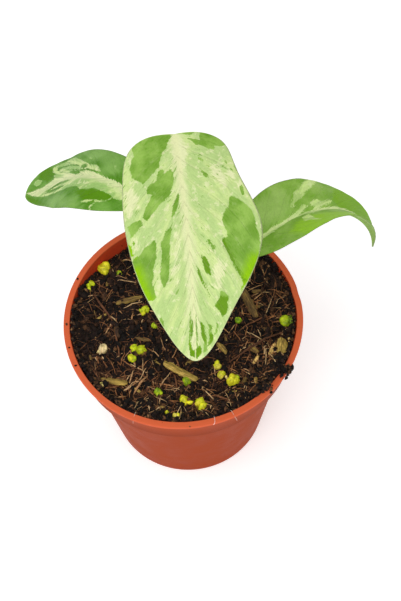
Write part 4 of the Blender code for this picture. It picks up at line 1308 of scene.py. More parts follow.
@dataclass
class Stalk:
    """One leaf stalk, from inside the stem to the midrib of its blade."""

    blade: Blade
    start: Triple
    lean: Triple
    seat_forward: float = -0.0008
    seat_down: float = 0.0012
    approach: float = 15.0
    reach: float = 0.0100
    radius: float = 0.00145
    radius_top: float = 0.0012
    sheath: float = 0.0023
    sheath_share: float = 0.28
    knee_swelling: float = 0.0003
    knee_place: float = 0.88
    knee_spread: float = 0.06
    joins_at: float = 0.0060
    tail_handles: Pair = (0.0015, 0.0020)
    tip_radius: float = 0.0006
    steps: int = 80
    tail_steps: int = 14
    sides: int = 24

    def path(self) -> Array:
        """Returns the stalk's line, with a tail that runs into the midrib's underside."""
        zero = np.array([0.0, self.joins_at])
        spine, _, upward = self.blade.frame_at(zero)
        forward = self.blade.midrib_direction(zero)
        seat = spine[0] + forward[0] * self.seat_forward - upward[0] * self.seat_down
        angle = math.radians(self.approach)
        approach = forward[0] * math.cos(angle) + upward[0] * math.sin(angle)
        start = np.array(self.start) + (0.0, 0.0, SOIL_LEVEL)
        line = bezier(start, start + self.lean, seat - approach * self.reach, seat, self.steps)
        end = spine[1] - upward[1] * self.blade.rib_depth
        leaving, arriving = self.tail_handles
        handles = seat + approach * leaving, end - forward[1] * arriving
        tail = bezier(seat, *handles, end, self.tail_steps + 1)
        return np.vstack([line, tail[1:]])

    def build(self, material: Material) -> Piece:
        """Makes the stalk: a sheath at its foot, slim above, with a knee at its top.

        The radius tapers in a straight line, plus one bell curve for the sheath at the
        foot and one for the knee, and runs out along the tail.

        Args:
            material: The stalk's material.

        Returns:
            The stalk.
        """
        path = self.path()
        t = np.minimum(np.arange(len(path)) / (self.steps - 1), 1.0)
        run_out = np.clip((np.arange(len(path)) - self.steps + 1) / self.tail_steps, 0.0, 1.0)
        radii = self.radius + (self.radius_top - self.radius) * t
        radii = radii + (self.sheath - self.radius) * bell(t, self.sheath_share)
        radii = radii + self.knee_swelling * bell(t - self.knee_place, self.knee_spread)
        radii = radii * (1 - run_out) + self.tip_radius * run_out
        plane = np.cross(path[1] - path[0], path[-1] - path[0])
        rings = tube_rings(path[None], radii[None], self.sides, plane[None] / np.linalg.norm(plane))
        points, faces = loft(rings)
        return make_piece("stalk_" + self.blade.name, points, faces, material)


@dataclass
class Stem:
    """The short jointed stem, with its three stalks."""

    stalks: tuple[Stalk, ...]
    radius: float = 0.0034
    above: float = 0.0150
    below: float = 0.0160
    swelling: float = 0.0005
    joints: Pair = (0.0045, 0.0100)
    joint_reach: float = 0.0008
    rounded: float = 0.0022
    segments: int = 40
    rings: int = 70

    def build(self) -> None:
        """Makes the stem's mesh, and the stalks on it.

        The radius is constant with a bell curve at each joint, and falls off as a
        quarter of an ellipse over the last stretch, which rounds the top.
        """
        material = StalkFinish().material()
        height = np.linspace(-self.below, self.above, self.rings)
        radii = np.full(self.rings, self.radius)
        for joint in self.joints:
            radii = radii + self.swelling * bell(height - joint, self.joint_reach)
        left = rise(self.above - height, 0.0, self.rounded)
        radii = radii * np.sqrt(np.clip(1 - (1 - left) ** 2, 0.02, 1.0))
        profile = columns(radii, height + SOIL_LEVEL)
        points, faces = loft(turned_rings(profile, self.segments))
        obj = make_piece("stem_body", points, faces, material)
        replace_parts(obj, "stem")
        for stalk in self.stalks:
            stalk.build(material)


def make_stem(centre: Blade, left: Blade, right: Blade) -> Stem:
    """Returns the stem with the stalks that carry the three blades."""
    return Stem(
        stalks=(
            Stalk(
                centre, start=(0.0004, 0.0006, 0.0120), lean=(0.0010, 0.0060, 0.0500),
                seat_forward=0.0020, seat_down=0.0029, approach=75.0, reach=0.0120,
            ),
            Stalk(left, (-0.0012, 0.0008, 0.0080), (-0.0030, 0.0030, 0.0300), reach=0.0090),
            Stalk(right, (0.0014, -0.0004, 0.0040), (0.0050, 0.0, 0.0220), reach=0.0100),
        )
    )


# Pot


@dataclass(frozen=True)
class PlasticFinish:
    """Matt terracotta-coloured plastic in painted tones of light and shade: a rim painted bright as
    if lit from above, a wall painted darker as if shaded, and a tone of its own inside.
    """

    # Painted light and shade: one plastic in three tones, lit on the rim, shaded on the wall, and a
    # tone of its own for the inside.
    wall: Colour = (0.37, 0.050, 0.009, 1.0)
    rim: Colour = (0.76, 0.140, 0.055, 1.0)
    inside: Colour = (0.60, 0.060, 0.020, 1.0)
    dust: Colour = srgb(184, 100, 66)
    # Soil colour for the dirt on the rim and inside, and for the painted shade line under the
    # collar.
    soil: Colour = srgb(62, 26, 16)
    roughness: float = 0.48

    def material(self) -> Material:
        """Makes the material: cloudy wear and dust, and dirt along the rim and inside."""
        material, g, shader = new_material("terracotta_plastic", IOR=1.47, Specular_IOR_Level=0.02)
        place = g.place()
        x, y, z = g.parts(place)
        rim, inside, line = g.parts(g.attribute("zones").outputs["Vector"])
        cloud = g.noise(place, 0.09, 4.0, 0.6)
        upright = g.vector(x, y, g.times(z, 0.2))
        scuffs = g.noise(upright, 0.8, 4.0, 0.7)
        grain = g.noise(place, 4.0, 2.0, 0.6)
        # The wall's tone is painted shade of the plastic; dust lies over it in clouds and scuffs.
        colour = g.wash(self.wall, self.dust, cloud, 0.35, 0.7, 0.12)
        colour = g.wash(colour, self.dust, scuffs, 0.64, 0.74, 0.10)
        # Painted shade: a dark line in the soil colour under the collar's ledge.
        colour = g.mix(g.times(line, 0.4), colour, self.soil)
        # Painted light: the rim band is painted brighter, as if lit from above.
        colour = g.mix(rim, colour, self.rim)
        # Painted light and shade: the inside has its own tone, darker than the rim.
        colour = g.mix(inside, colour, self.inside)
        dirt = g.step(g.noise(place, 0.55, 4.0, 0.65), 0.66, 0.74)
        dirty = g.math("MAXIMUM", inside, g.times(rim, 0.35))
        colour = g.mix(g.times(dirt, dirty), colour, self.soil)
        colour = g.shade(colour, g.step(grain, 0.2, 0.8, 0.96, 1.04))
        rough = g.step(cloud, 0.3, 0.7, self.roughness - 0.05, self.roughness + 0.10)
        paint(g, shader, colour, rough, g.plus(grain, scuffs), 0.00008, 0.5)
        return material


@dataclass
class NurseryPot:
    """The turned plastic pot with its rim, collar, ring foot and drain holes."""

    rim_radius: float = 0.0450
    rim_width: float = 0.0023
    rim_thickness: float = 0.0016
    rim_rounding: float = 0.0005
    collar_height: float = 0.0155
    collar_radius_top: float = 0.0434
    collar_radius_bottom: float = 0.0419
    ledge_drop: float = 0.0008
    wall_radius_top: float = 0.0393
    wall: float = 0.0011
    foot_radius: float = 0.0311
    foot_width: float = 0.0030
    foot_height: float = 0.0018
    foot_rounding: float = 0.0012
    foot_cut: float = 0.00035
    floor_top: float = 0.0032
    middle: float = 0.0006
    pad_radius: float = 0.0070
    drain_holes: int = 8
    drain_radius: float = 0.0033
    drain_circle: float = 0.0215
    segments: int = 288
    rounding: float = 0.00045
    pinch_angle: float = 9.0
    pinch_spread: float = 3.5
    pinch_depth: float = 0.0003
    pinch_heights: Pair = (0.062, 0.010)
    sway: Pair = (0.00020, 0.00012)
    zone_blend: float = 0.0008
    finish: PlasticFinish = field(default_factory=PlasticFinish)

    def inner_wall(self, clearance: float = 0.0) -> Array:
        """Returns the section of the inside, from the rim down to the floor.

        Args:
            clearance: How far towards the axis, and up, each point is moved.

        Returns:
            Radius and height of each corner.
        """
        ledge = POT_HEIGHT - self.collar_height + self.wall
        under_rim = POT_HEIGHT - self.rim_thickness - self.rim_rounding
        corners = np.array(
            [
                (self.rim_radius - self.rim_width, POT_HEIGHT - self.rim_rounding),
                (self.collar_radius_top - self.wall, under_rim),
                (self.collar_radius_bottom - self.wall, ledge),
                (self.wall_radius_top - self.wall, ledge - self.ledge_drop),
                (self.foot_radius - self.wall, self.floor_top),
            ]
        )
        return corners + (-clearance, clearance)

    def outer_wall(self) -> Array:
        """Returns the section of the outside, from the middle of the floor to the rim."""
        collar = POT_HEIGHT - self.collar_height
        foot_inside = self.foot_radius - self.foot_width
        return np.array(
            [
                (self.middle, 0.0),
                (self.pad_radius, 0.0),
                (self.pad_radius + self.foot_height, self.foot_height),
                (foot_inside - self.foot_height, self.foot_height),
                (foot_inside, 0.0),
                (self.foot_radius - self.foot_rounding, 0.0),
                (self.foot_radius - self.foot_cut, self.foot_cut),
                (self.foot_radius, self.foot_rounding),
                (self.wall_radius_top, collar - self.ledge_drop),
                (self.collar_radius_bottom, collar),
                (self.collar_radius_top, POT_HEIGHT - self.rim_thickness - self.rim_rounding),
                (self.rim_radius, POT_HEIGHT - self.rim_thickness),
                (self.rim_radius, POT_HEIGHT),
                (self.rim_radius - self.rim_width, POT_HEIGHT),
            ]
        )

    def build(self) -> Piece:
        """Makes the pot's mesh, cuts the drain holes and dresses it."""
        corners = np.vstack([self.outer_wall(), self.inner_wall(), [(self.middle, self.floor_top)]])
        profile = softened(corners, self.rounding, 5)
        rings = self.bent(turned_rings(profile, self.segments))
        points, faces = loft(rings)
        obj = make_piece("pot_shell", points, faces, self.finish.material(), crease=50.0)
        self.cut_drains(obj)
        self.mark_zones(obj.data)
        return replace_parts(obj, "pot")

    def bent(self, rings: Array) -> Array:
        """Makes the round pot slightly uneven, as thin plastic is.

        Two and three swells go round the rim and fade towards the foot, and a bell
        curve presses the rim in at one place.

        Args:
            rings: The round pot's ring points.

        Returns:
            The uneven ring points.
        """
        x, y, z = rings[..., 0], rings[..., 1], rings[..., 2]
        angle, radius = np.arctan2(y, x), np.hypot(x, y)
        share = np.clip(z / POT_HEIGHT, 0.0, 1.0) ** 2
        swell = self.sway[0] * np.sin(2 * angle + 0.7) + self.sway[1] * np.sin(3 * angle + 2.1)
        near = bell(np.degrees(angle) - self.pinch_angle, self.pinch_spread)
        pinch = self.pinch_depth * near * rise(z, *self.pinch_heights)
        scale = (radius + swell * share - pinch) / radius
        return columns(x * scale, y * scale, z)

    def mark_zones(self, mesh: bpy.types.Mesh) -> None:
        """Stores masks of the rim and the inside, where the material paints light and shade, and of
        the line of painted shade under the collar.

        A point is inside where its radius is less than that of the wall's middle at its
        height, and it lies over the floor's underside.

        Args:
            mesh: The pot's mesh.
        """
        points = np.empty(3 * len(mesh.vertices), np.float32)
        mesh.vertices.foreach_get("co", points)
        points = points.reshape(-1, 3)
        radius, height = np.hypot(points[:, 0], points[:, 1]), points[:, 2]
        wall = self.inner_wall()
        middle = np.interp(height, wall[::-1, 1], wall[::-1, 0]) + self.wall / 2
        inside = (radius < middle) & (height > self.floor_top - 0.0003)
        down = POT_HEIGHT - height
        inside = inside * rise(down, 0.0003, self.zone_blend)
        rim = rise(-down, -0.0028, self.zone_blend) * (1 - inside)
        # The line of painted shade under the collar's ledge.
        line = bell(down - self.collar_height, 0.0006) * (1 - inside)
        masks = columns(rim, inside, line).astype(np.float32)
        layer = mesh.attributes.new("zones", "FLOAT_VECTOR", "POINT")
        layer.data.foreach_set("vector", masks.ravel())

    def cut_drains(self, obj: Piece) -> None:
        """Cuts the ring of drain holes out of the floor.

        Args:
            obj: The pot.
        """
        angles = TURN * (np.arange(self.drain_holes) + 0.5) / self.drain_holes
        x, y = on_circle(self.drain_circle, angles)
        past = 0.002
        ends = [columns(x, y, 0 * x + z) for z in (-past, self.floor_top + past)]
        paths = np.stack(ends, axis=1)
        radii = np.full(paths.shape[:2], self.drain_radius)
        square_to = np.tile([0.0, 1.0, 0.0], (self.drain_holes, 1))
        points, faces = loft(tube_rings(paths, radii, 32, square_to))
        mesh = bpy.data.meshes.new("drains")
        mesh.from_pydata(points.tolist(), [], [c for corners in faces for c in corners.tolist()])
        cutter = new_object("drains", mesh)
        modifier = obj.modifiers.new("drains", "BOOLEAN")
        modifier.operation, modifier.object = "DIFFERENCE", cutter
        finished = obj.evaluated_get(bpy.context.evaluated_depsgraph_get())
        cut = bpy.data.meshes.new_from_object(finished)
        obj.modifiers.clear()
        obj.data = cut
        bpy.data.objects.remove(cutter, do_unlink=True)


# Potting mix


def stops(*rows: tuple[float, ...]) -> tuple[tuple[float, Colour], ...]:
    """Returns colour stops from rows of a place and a screen colour."""
    return tuple((place, srgb(*screen)) for place, *screen in rows)


@dataclass(frozen=True)
class EarthFinish:
    """Finish of one kind of thing in the potting mix.

    The stops are colours along the tint, which each crumb, fibre or chip has its own
    value of. Lengthwise grain follows the attribute run, which holds the place along
    the piece, squeezed, the place across it and the piece's own number.
    """

    name: str
    stops: tuple[tuple[float, Colour], ...]
    grain: float = 1.4
    roughness: float = 0.9
    relief: float = 0.0003
    spread: float = 0.35
    lengthwise: bool = False

    GROUP = "earth_grain"

    def material(self) -> Material:
        """Makes the material: the tint's colour, broken up by the shared grain, with painted shade
        in the relief's hollows and painted light on its tops.
        """
        material, g, shader = new_material(self.name, IOR=1.4)
        tree = bpy.data.node_groups.get(self.GROUP) or self.build_group()
        grain = g.add("ShaderNodeGroup", {}, node_tree=tree)
        run = g.attribute("run").outputs["Vector"] if self.lengthwise else g.place()
        g.feed(grain.inputs["Place"], run)
        g.feed(grain.inputs["Cells"], self.grain)
        g.feed(grain.inputs["Spread"], self.spread)
        g.feed(grain.inputs["Tint"], g.attribute("tint").outputs["Fac"])
        colour = g.ramp(grain.outputs["Tint"], self.stops)
        colour, height = g.shade(colour, grain.outputs["Shade"]), grain.outputs["Height"]
        rough = g.math("MULTIPLY_ADD", height, 0.2, self.roughness - 0.15)
        paint(g, shader, colour, rough, height, self.relief, 0.8)
        return material

    @classmethod
    def build_group(cls) -> bpy.types.NodeTree:
        """Builds the node group that breaks up earth colours.

        Coarse noise shifts the tint, and fine noise makes relief and paints shade into its hollows
        and light onto its tops.

        Returns:
            The group.
        """
        inputs = {"Place": Socket.VECTOR}
        inputs.update({title: Socket.NUMBER for title in ("Cells", "Spread", "Tint")})
        outputs = {title: Socket.NUMBER for title in ("Tint", "Shade", "Height")}
        tree, g, given, result = new_group(cls.GROUP, inputs, outputs)
        scaled = g.scaled(given["Place"], given["Cells"])
        coarse = g.noise(scaled, 0.35, 3.0, 0.6)
        fine = g.noise(scaled, 1.3, 5.0, 0.7)
        tint = g.swung(given["Tint"], g.plus(coarse, fine), given["Spread"], 1.0)
        g.feed(result.inputs["Tint"], tint)
        # Painted shade and light: darker in the relief's hollows, brighter on its tops.
        g.feed(result.inputs["Shade"], g.step(fine, 0.28, 0.72, 0.5, 1.45))
        g.feed(result.inputs["Height"], fine)
        return tree


PEAT = EarthFinish(
    "peat",
    stops((0.0, 12, 5, 4), (0.36, 46, 26, 18), (0.68, 124, 84, 52), (1.0, 206, 164, 112)),
)
BARK = EarthFinish(
    "bark",
    stops((0.0, 64, 40, 26), (0.4, 126, 96, 50), (0.7, 186, 154, 72), (1.0, 255, 206, 124)),
    grain=1.6, roughness=0.75, spread=0.75, lengthwise=True,
)
FIBRE = EarthFinish(
    "root_fibre",
    stops((0.0, 52, 30, 20), (0.4, 118, 74, 48), (0.7, 176, 116, 72), (1.0, 230, 190, 140)),
    grain=0.7, roughness=0.8, relief=0.0001, spread=0.2,
)
GRANULE = EarthFinish(
    "granule",
    stops((0.0, 112, 156, 20), (0.36, 206, 220, 24), (0.62, 252, 236, 50), (1.0, 240, 212, 160)),
    grain=0.5, roughness=0.5, relief=0.0002, spread=0.25,
)
HAIR = EarthFinish(
    "pale_hair",
    stops((0.0, 220, 180, 150), (1.0, 250, 245, 240)),
    spread=0.1, relief=0.0001,
)


@dataclass(frozen=True)
class Heap:
    """A hump of soil: the angle and distance of its top, its height and its spread."""

    degrees: float
    height: float
    circle: float = 0.0395
    spread: float = 0.0052


@dataclass
class PottingMix:
    """The soil with its crumbs, bark, fibres, granules and the spill on the rim."""

    pot: NurseryPot
    radius: float = 0.0450
    mound: float = 0.0012
    seed: int = 12
    bump_count: int = 260
    bump_height: float = 0.0011
    bump_spread: Pair = (0.0014, 0.0036)
    deep_place: Pair = (-0.025, -0.027)
    deep_depth: float = 0.0030
    deep_spread: float = 0.0035
    bank_height: float = 0.0046
    bank_circle: float = 0.0417
    bank_spread: float = 0.0050
    low_side_angle: float = 118.0
    low_side_spread: float = 34.0
    heaps: tuple[Heap, ...] = (Heap(-50.0, 0.0012), Heap(-39.0, 0.0026), Heap(-28.0, 0.0018))
    fine_cells: tuple[float, ...] = (0.0042, 0.0021, 0.0010, 0.0006)
    fine_heights: tuple[float, ...] = (0.00045, 0.00050, 0.00040, 0.00020)
    bed_rings: int = 120
    bed_segments: int = 340
    crumbs: int = 5200
    wall_crumbs: int = 1300
    crumb_sizes: Pair = (0.0003, 0.0015)
    crumb_circle: float = 0.0413
    crumb_rough: float = 0.42
    wall_crumb_sizes: Pair = (0.0003, 0.0009)
    wall_crumb_circles: Triple = (0.0416, 0.0012, 0.0022)
    wall_crumb_pile: float = 0.0020
    wall_limit: float = 0.0432
    crumb_reach: float = 1.78
    granule_reach: float = 1.44
    granule_rough: float = 0.15
    spill_sizes: Pair = (0.0003, 0.0011)
    spill_pile: float = 0.0022
    spill_limit: float = 0.0458
    chip_circle: float = 0.0385
    chip_lengths: Pair = (0.0018, 0.0060)
    chip_grid: tuple[int, int] = (14, 16)
    chip_widths: Pair = (0.15, 0.45)
    chip_ragged: Pair = (-0.22, 0.16)
    chip_slant: float = 0.5
    chip_furrows: float = 0.35
    chip_tilt: float = 0.35
    chip_thickness: Triple = (0.32, 0.0003, 0.0008)
    chip_lift: Triple = (0.45, 0.0003, 0.0013)
    strand_circle: float = 0.0395
    strand_limit: float = 0.0414
    strand_steps: int = 9
    strand_front: Pair = (1.15, 0.95)
    splinter_lengths: Pair = (0.0020, 0.0095)
    splinter_radii: Pair = (0.00008, 0.00028)
    hair_lengths: Pair = (0.0030, 0.0130)
    hair_radii: Pair = (0.00005, 0.00012)
    rim_hair_radius: float = 0.00007
    hairs: int = 420
    splinters: int = 760
    loose_chips: int = 36
    lumps: int = 4
    granules: Rows = ()
    chips: Rows = ()
    twigs: Rows = ()
    spills: Rows = ()
    stray_crumbs: Rows = ()
    rim_hairs: Rows = ()
    bumps: Array = field(init=False)

    def __post_init__(self) -> None:
        """Draws the soil's bumps in the order in which the CAD source draws them."""
        draw = random.Random(self.seed)
        bumps = []
        for _ in range(self.bump_count):
            angle = draw.uniform(0.0, TURN)
            radius = self.radius * math.sqrt(draw.uniform(0.0, 1.0))
            spread = draw.uniform(*self.bump_spread)
            height = self.bump_height * draw.uniform(-0.9, 1.2)
            bumps.append((radius * math.cos(angle), radius * math.sin(angle), spread, height))
        self.bumps = np.array(bumps)

    def height(self, x: Array, y: Array) -> Array:
        """Returns the height of the soil's surface.

        It is a low mound, plus a bell curve for each bump, less one for the deep place,
        plus one for each hump of the heap, plus a bank along the wall except at its low
        side, plus four sizes of fine noise.

        Args:
            x: First coordinates.
            y: Second coordinates.

        Returns:
            The heights.
        """
        level = SOIL_LEVEL + self.mound * (1 - (x**2 + y**2) / self.radius**2)
        for bump_x, bump_y, spread, height in self.bumps:
            level = level + height * round_bell(x, y, (bump_x, bump_y), spread)
        level = level - self.deep_depth * round_bell(x, y, self.deep_place, self.deep_spread)
        for heap in self.heaps:
            top = on_circle(heap.circle, math.radians(heap.degrees))
            level = level + heap.height * round_bell(x, y, top, heap.spread)
        level = level + self.bank(x, y)
        for number, (cell, height) in enumerate(zip(self.fine_cells, self.fine_heights)):
            level = level + height * value_noise(x, y, cell, self.seed + number)
        return level

    def bank(self, x: Array, y: Array) -> Array:
        """Returns how far the soil rises along the wall, except at its low side.

        Args:
            x: First coordinates.
            y: Second coordinates.

        Returns:
            The heights of the bank.
        """
        from_wall = self.bank_circle - np.minimum(np.hypot(x, y), self.bank_circle)
        from_low = np.mod(np.degrees(np.arctan2(y, x)) - self.low_side_angle + 180.0, 360.0) - 180.0
        bank = self.bank_height * (1 - np.exp(-((from_low / self.low_side_spread) ** 4)))
        return bank * bell(from_wall, self.bank_spread)

    def build(self) -> None:
        """Makes and dresses every piece of the potting mix."""
        peat = PEAT.material()
        pieces = (
            ("soil_bed", self.bed, peat),
            ("soil_crumbs", self.loose_crumbs, peat),
            ("bark_chips", self.bark_chips, BARK.material()),
            ("root_fibres", self.root_fibres, FIBRE.material()),
            ("granules", self.clumps, GRANULE.material()),
            ("rim_hairs", self.pale_hairs, HAIR.material()),
        )
        for name, shape, material in pieces:
            points, faces, values = shape()
            obj = make_piece(name, points, faces, material, values)
            if name == "soil_bed":
                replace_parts(obj, "soil")

    def bed(self) -> Shape:
        """Works out the soil's body: a rough top, and sides that follow the pot's inside.

        Its rings run from the middle out over the top to the wall, whose radius at the
        soil's own height ends them, and then down the wall to the floor.

        Returns:
            Points, faces and the tint at each point.
        """
        wall = self.pot.inner_wall(0.0003)
        angles = np.arange(self.bed_segments) * (TURN / self.bed_segments)
        edge = float(np.interp(SOIL_LEVEL, wall[::-1, 1], wall[::-1, 0]))
        level = self.height(*on_circle(edge, angles))
        edges = np.interp(level, wall[::-1, 1], wall[::-1, 0])
        share = np.linspace(0.005, 1.0, self.bed_rings)
        x, y = np.outer(share, edges * np.cos(angles)), np.outer(share, edges * np.sin(angles))
        top = columns(x, y, self.height(x, y))[None]
        low = wall[wall[:, 1] < SOIL_LEVEL - 0.004]
        side = np.vstack([[(edge, SOIL_LEVEL - 0.003)], low, [(0.0005, low[-1, 1])]])
        rings = np.concatenate([top, turned_rings(side, self.bed_segments)], axis=1)
        points, faces = loft(rings)
        tint = 0.20 + 0.22 * value_noise(points[:, 0], points[:, 1], 0.004, 5)
        return points, faces, {"tint": tint}

    def loose_crumbs(self) -> Shape:
        """Works out the crumbs: on the soil, along the wall, and on the rim.

        Each crumb is a twenty-sided ball, stretched, turned and roughened by its own
        random numbers, and sunk by about a third.

        Returns:
            Points, faces and the tint at each point.
        """
        draw = np.random.default_rng(self.seed)
        angle = draw.uniform(0.0, TURN, self.crumbs)
        circle = self.crumb_circle * np.sqrt(draw.random(self.crumbs))
        size = crowded(draw, self.crumb_sizes, 3, self.crumbs)
        x, y = self.inside_wall(*on_circle(circle, angle), self.crumb_reach * size)
        z = self.height(x, y) + size * 0.25
        centres, sizes = [columns(x, y, z)], [size]
        angle = draw.uniform(0.0, TURN, self.wall_crumbs)
        heaped = self.bank(*on_circle(self.bank_circle, angle)) / self.bank_height
        circle, outwards, inwards = self.wall_crumb_circles
        circle = circle + outwards * heaped
        circle = circle - inwards * draw.random(self.wall_crumbs) ** 1.5
        size = crowded(draw, self.wall_crumb_sizes, 1, self.wall_crumbs)
        x, y = self.inside_wall(*on_circle(circle, angle), self.crumb_reach * size)
        pile = self.wall_crumb_pile * heaped * draw.random(self.wall_crumbs)
        z = self.height(x, y) + size * 0.3 + pile
        centres.append(columns(x, y, z))
        sizes.append(size)
        for spill_x, spill_y, radius, count in self.spills:
            spread = draw.normal(size=(count, 2)) * radius * 0.45
            size = crowded(draw, self.spill_sizes, 1.5, count)
            near = np.exp(-(spread**2).sum(axis=1) / (0.6 * radius) ** 2)
            z = POT_HEIGHT + size * 0.4 + self.spill_pile * near * draw.random(count)
            flat = spread + (spill_x, spill_y)
            outward = np.linalg.norm(flat, axis=1, keepdims=True)
            flat = flat * np.minimum(1.0, self.spill_limit / outward)
            centres.append(np.column_stack([flat, z]))
            sizes.append(size)
        stray = np.array(self.stray_crumbs)
        centres.append(np.column_stack([stray[:, :2], POT_HEIGHT + stray[:, 2] * 0.3]))
        sizes.append(stray[:, 2])
        centres, sizes = np.concatenate(centres), np.concatenate(sizes)
        points, faces = self.scattered(1, centres, sizes, self.crumb_rough, draw)
        tint = 0.95 * draw.random(len(sizes)) ** 1.9 * (1 - 0.55 * sizes / sizes.max())
        return points, [faces], {"tint": np.repeat(tint, len(points) // len(sizes))}

    def inside_wall(self, x: Array, y: Array, reach: Array) -> tuple[Array, Array]:
        """Returns places moved straight inwards until what reaches so far stays in the wall."""
        share = np.minimum(1.0, (self.wall_limit - reach) / np.hypot(x, y))
        return x * share, y * share

    @staticmethod
    def scattered(
        subdivisions: int, centres: Array, sizes: Array, rough: float, draw: Draw
    ) -> tuple[Array, Array]:
        """Puts a rough, stretched and turned ball at each centre.

        Args:
            subdivisions: How finely the ball is divided.
            centres: The centres.
            sizes: The radii.
            rough: How far corners move in or out, as a share of the radius.
            draw: The random numbers.

        Returns:
            The points of all the balls, and their triangles.
        """
        shape, faces = ball(subdivisions)
        count = len(centres)
        stretch = draw.uniform(0.45, 1.25, (count, 1, 3))
        ragged = 1 + rough * draw.uniform(-1.0, 1.0, (count, len(shape), 1))
        local = shape[None] * stretch * ragged * sizes[:, None, None]
        points = np.einsum("nij,nvj->nvi", random_turns(count, draw), local) + centres[:, None]
        shift = (np.arange(count) * len(shape))[:, None, None]
        return points.reshape(-1, 3), (faces[None] + shift).reshape(-1, 3)

    def bark_chips(self) -> Shape:
        """Works out the bark chips.

        A chip is a flat loft: its width swells and narrows along it, its cross-section
        is a thin ragged oval, and it lies on the soil along its whole length.

        Returns:
            Points, faces, and the tint and the place along the chip at each point.
        """
        draw = np.random.default_rng(self.seed + 2)
        count, (rows, around) = len(self.chips) + self.loose_chips, self.chip_grid
        given = np.array(self.chips)
        angle = draw.uniform(0.0, TURN, self.loose_chips)
        circle = self.chip_circle * np.sqrt(draw.random(self.loose_chips))
        heading = draw.uniform(0.0, TURN, self.loose_chips)
        length = draw.uniform(*self.chip_lengths, self.loose_chips)
        ends = columns(*on_circle(length / 2, heading))
        middle = columns(*on_circle(circle, angle))
        start = np.vstack([given[:, 0:2], middle - ends])
        stop = np.vstack([given[:, 2:4], middle + ends])
        width = np.append(given[:, 4], length * draw.uniform(*self.chip_widths, self.loose_chips))
        t = np.linspace(0.01, 0.99, rows)
        swell = np.clip(np.sin(math.pi * t), 0.0, 1.0) ** 0.22
        ragged = 1 + draw.uniform(*self.chip_ragged, (count, rows))
        turn = np.arange(around) * (TURN / around)
        along = stop - start
        length = np.linalg.norm(along, axis=1)
        across = columns(-along[:, 1], along[:, 0]) / length[:, None]
        reach = (width[:, None] / 2 * swell * ragged)[:, :, None] * np.cos(turn)
        slant = self.chip_slant * draw.uniform(-1.0, 1.0, (count, 1, 1)) * reach
        slant = slant * np.cos(math.pi * t)[:, None]
        flat = start[:, None] + t[:, None] * along[:, None]
        ahead = (along / length[:, None])[:, None, None]
        place = flat[:, :, None] + across[:, None, None] * reach[..., None]
        place = place + ahead * slant[..., None]
        ground = self.height(flat[..., 0], flat[..., 1])
        line = 0.4 * ground + 0.6 * ground.mean(axis=1, keepdims=True)
        furrows = 1 + self.chip_furrows * draw.uniform(-1.0, 1.0, (count, 1, around))
        share, *limits = self.chip_thickness
        thick = np.clip(width * share, *limits)[:, None, None] * np.sin(turn)
        thick = thick * furrows * swell[:, None]
        tilt = draw.uniform(-self.chip_tilt, self.chip_tilt, (count, 1, 1)) * reach
        share, *limits = self.chip_lift
        level = (line + np.clip(width * share, *limits)[:, None])[..., None] + thick + tilt
        number = np.broadcast_to(np.arange(count)[:, None, None] * 9.0, reach.shape)
        squeezed = np.broadcast_to((0.15 * t * length[:, None] / MM)[..., None], reach.shape)
        run = columns(squeezed, reach / MM, number)
        points, faces = loft(np.concatenate([place, level[..., None]], axis=-1))
        tints = np.append(given[:, 5], draw.uniform(0.0, 0.8, self.loose_chips))
        tint = np.repeat(tints, len(points) // count)
        return points, faces, {"tint": tint, "run": with_ends(run)}

    def strands(self, count: int, front: float, lengths: Pair, radii: Pair, draw: Draw) -> Array:
        """Draws strands that lie on the soil.

        Args:
            count: The number of strands.
            front: The share of them that lies in the outer front and right.
            lengths: The shortest and the longest length.
            radii: The least and the greatest radius.
            draw: The random numbers.

        Returns:
            One row for each strand: start x and y, end x and y, and the radius.
        """
        angle = draw.uniform(0.0, TURN, count)
        ahead = draw.random(count) < front
        first, width = self.strand_front
        angle = np.where(ahead, math.pi * (first + width * draw.random(count)), angle)
        low = np.where(ahead, 0.35, 0.0)
        circle = self.strand_circle * np.sqrt(low + (1 - low) * draw.random(count))
        heading = draw.uniform(0.0, TURN, count)
        length = crowded(draw, lengths, 1.6, count)
        middle = columns(*on_circle(circle, angle))
        ends = columns(*on_circle(length / 2, heading))
        radius = crowded(draw, radii, 1.5, count)
        return np.column_stack([middle - ends, middle + ends, radius])

    def root_fibres(self) -> Shape:
        """Works out the twigs, the straight splinters and the curly root hairs.

        Each one is a thin tube along a bow: a straight line with a sideways sine, that
        follows the soil and rises a little over it between its sunk ends.

        Returns:
            Points, faces and the tint at each point.
        """
        draw = np.random.default_rng(self.seed + 3)
        twigs = np.array(self.twigs)
        sizes = self.splinter_lengths, self.splinter_radii
        splinters = self.strands(self.splinters, 0.45, *sizes, draw)
        hairs = self.strands(self.hairs, 0.40, self.hair_lengths, self.hair_radii, draw)
        rows = np.vstack([twigs[:, :5], splinters, hairs])
        kinds = (len(twigs), self.splinters, self.hairs)
        start, stop, thickness = rows[:, 0:2], rows[:, 2:4], rows[:, 4]
        count = len(rows)
        lift = np.repeat([0.0012, 0.0006, 0.0008], kinds) * draw.uniform(0.4, 1.6, count)
        bow = np.repeat([0.05, 0.04, 0.28], kinds)[:, None]
        t = np.linspace(0.0, 1.0, self.strand_steps)
        along = stop - start
        across = columns(-along[:, 1], along[:, 0])
        sway = bow * draw.uniform(-1.0, 1.0, (count, 1)) * np.sin(math.pi * t)
        sway = sway + 0.4 * bow * draw.uniform(-1.0, 1.0, (count, 1)) * np.sin(TURN * t)
        flat = start[:, None] + t[:, None] * along[:, None] + across[:, None] * sway[..., None]
        outward = np.linalg.norm(flat, axis=-1, keepdims=True)
        flat = flat * np.minimum(1.0, self.strand_limit / outward)
        ground = self.height(flat[..., 0], flat[..., 1])
        level = 0.5 * ground + 0.5 * ground.mean(axis=1, keepdims=True)
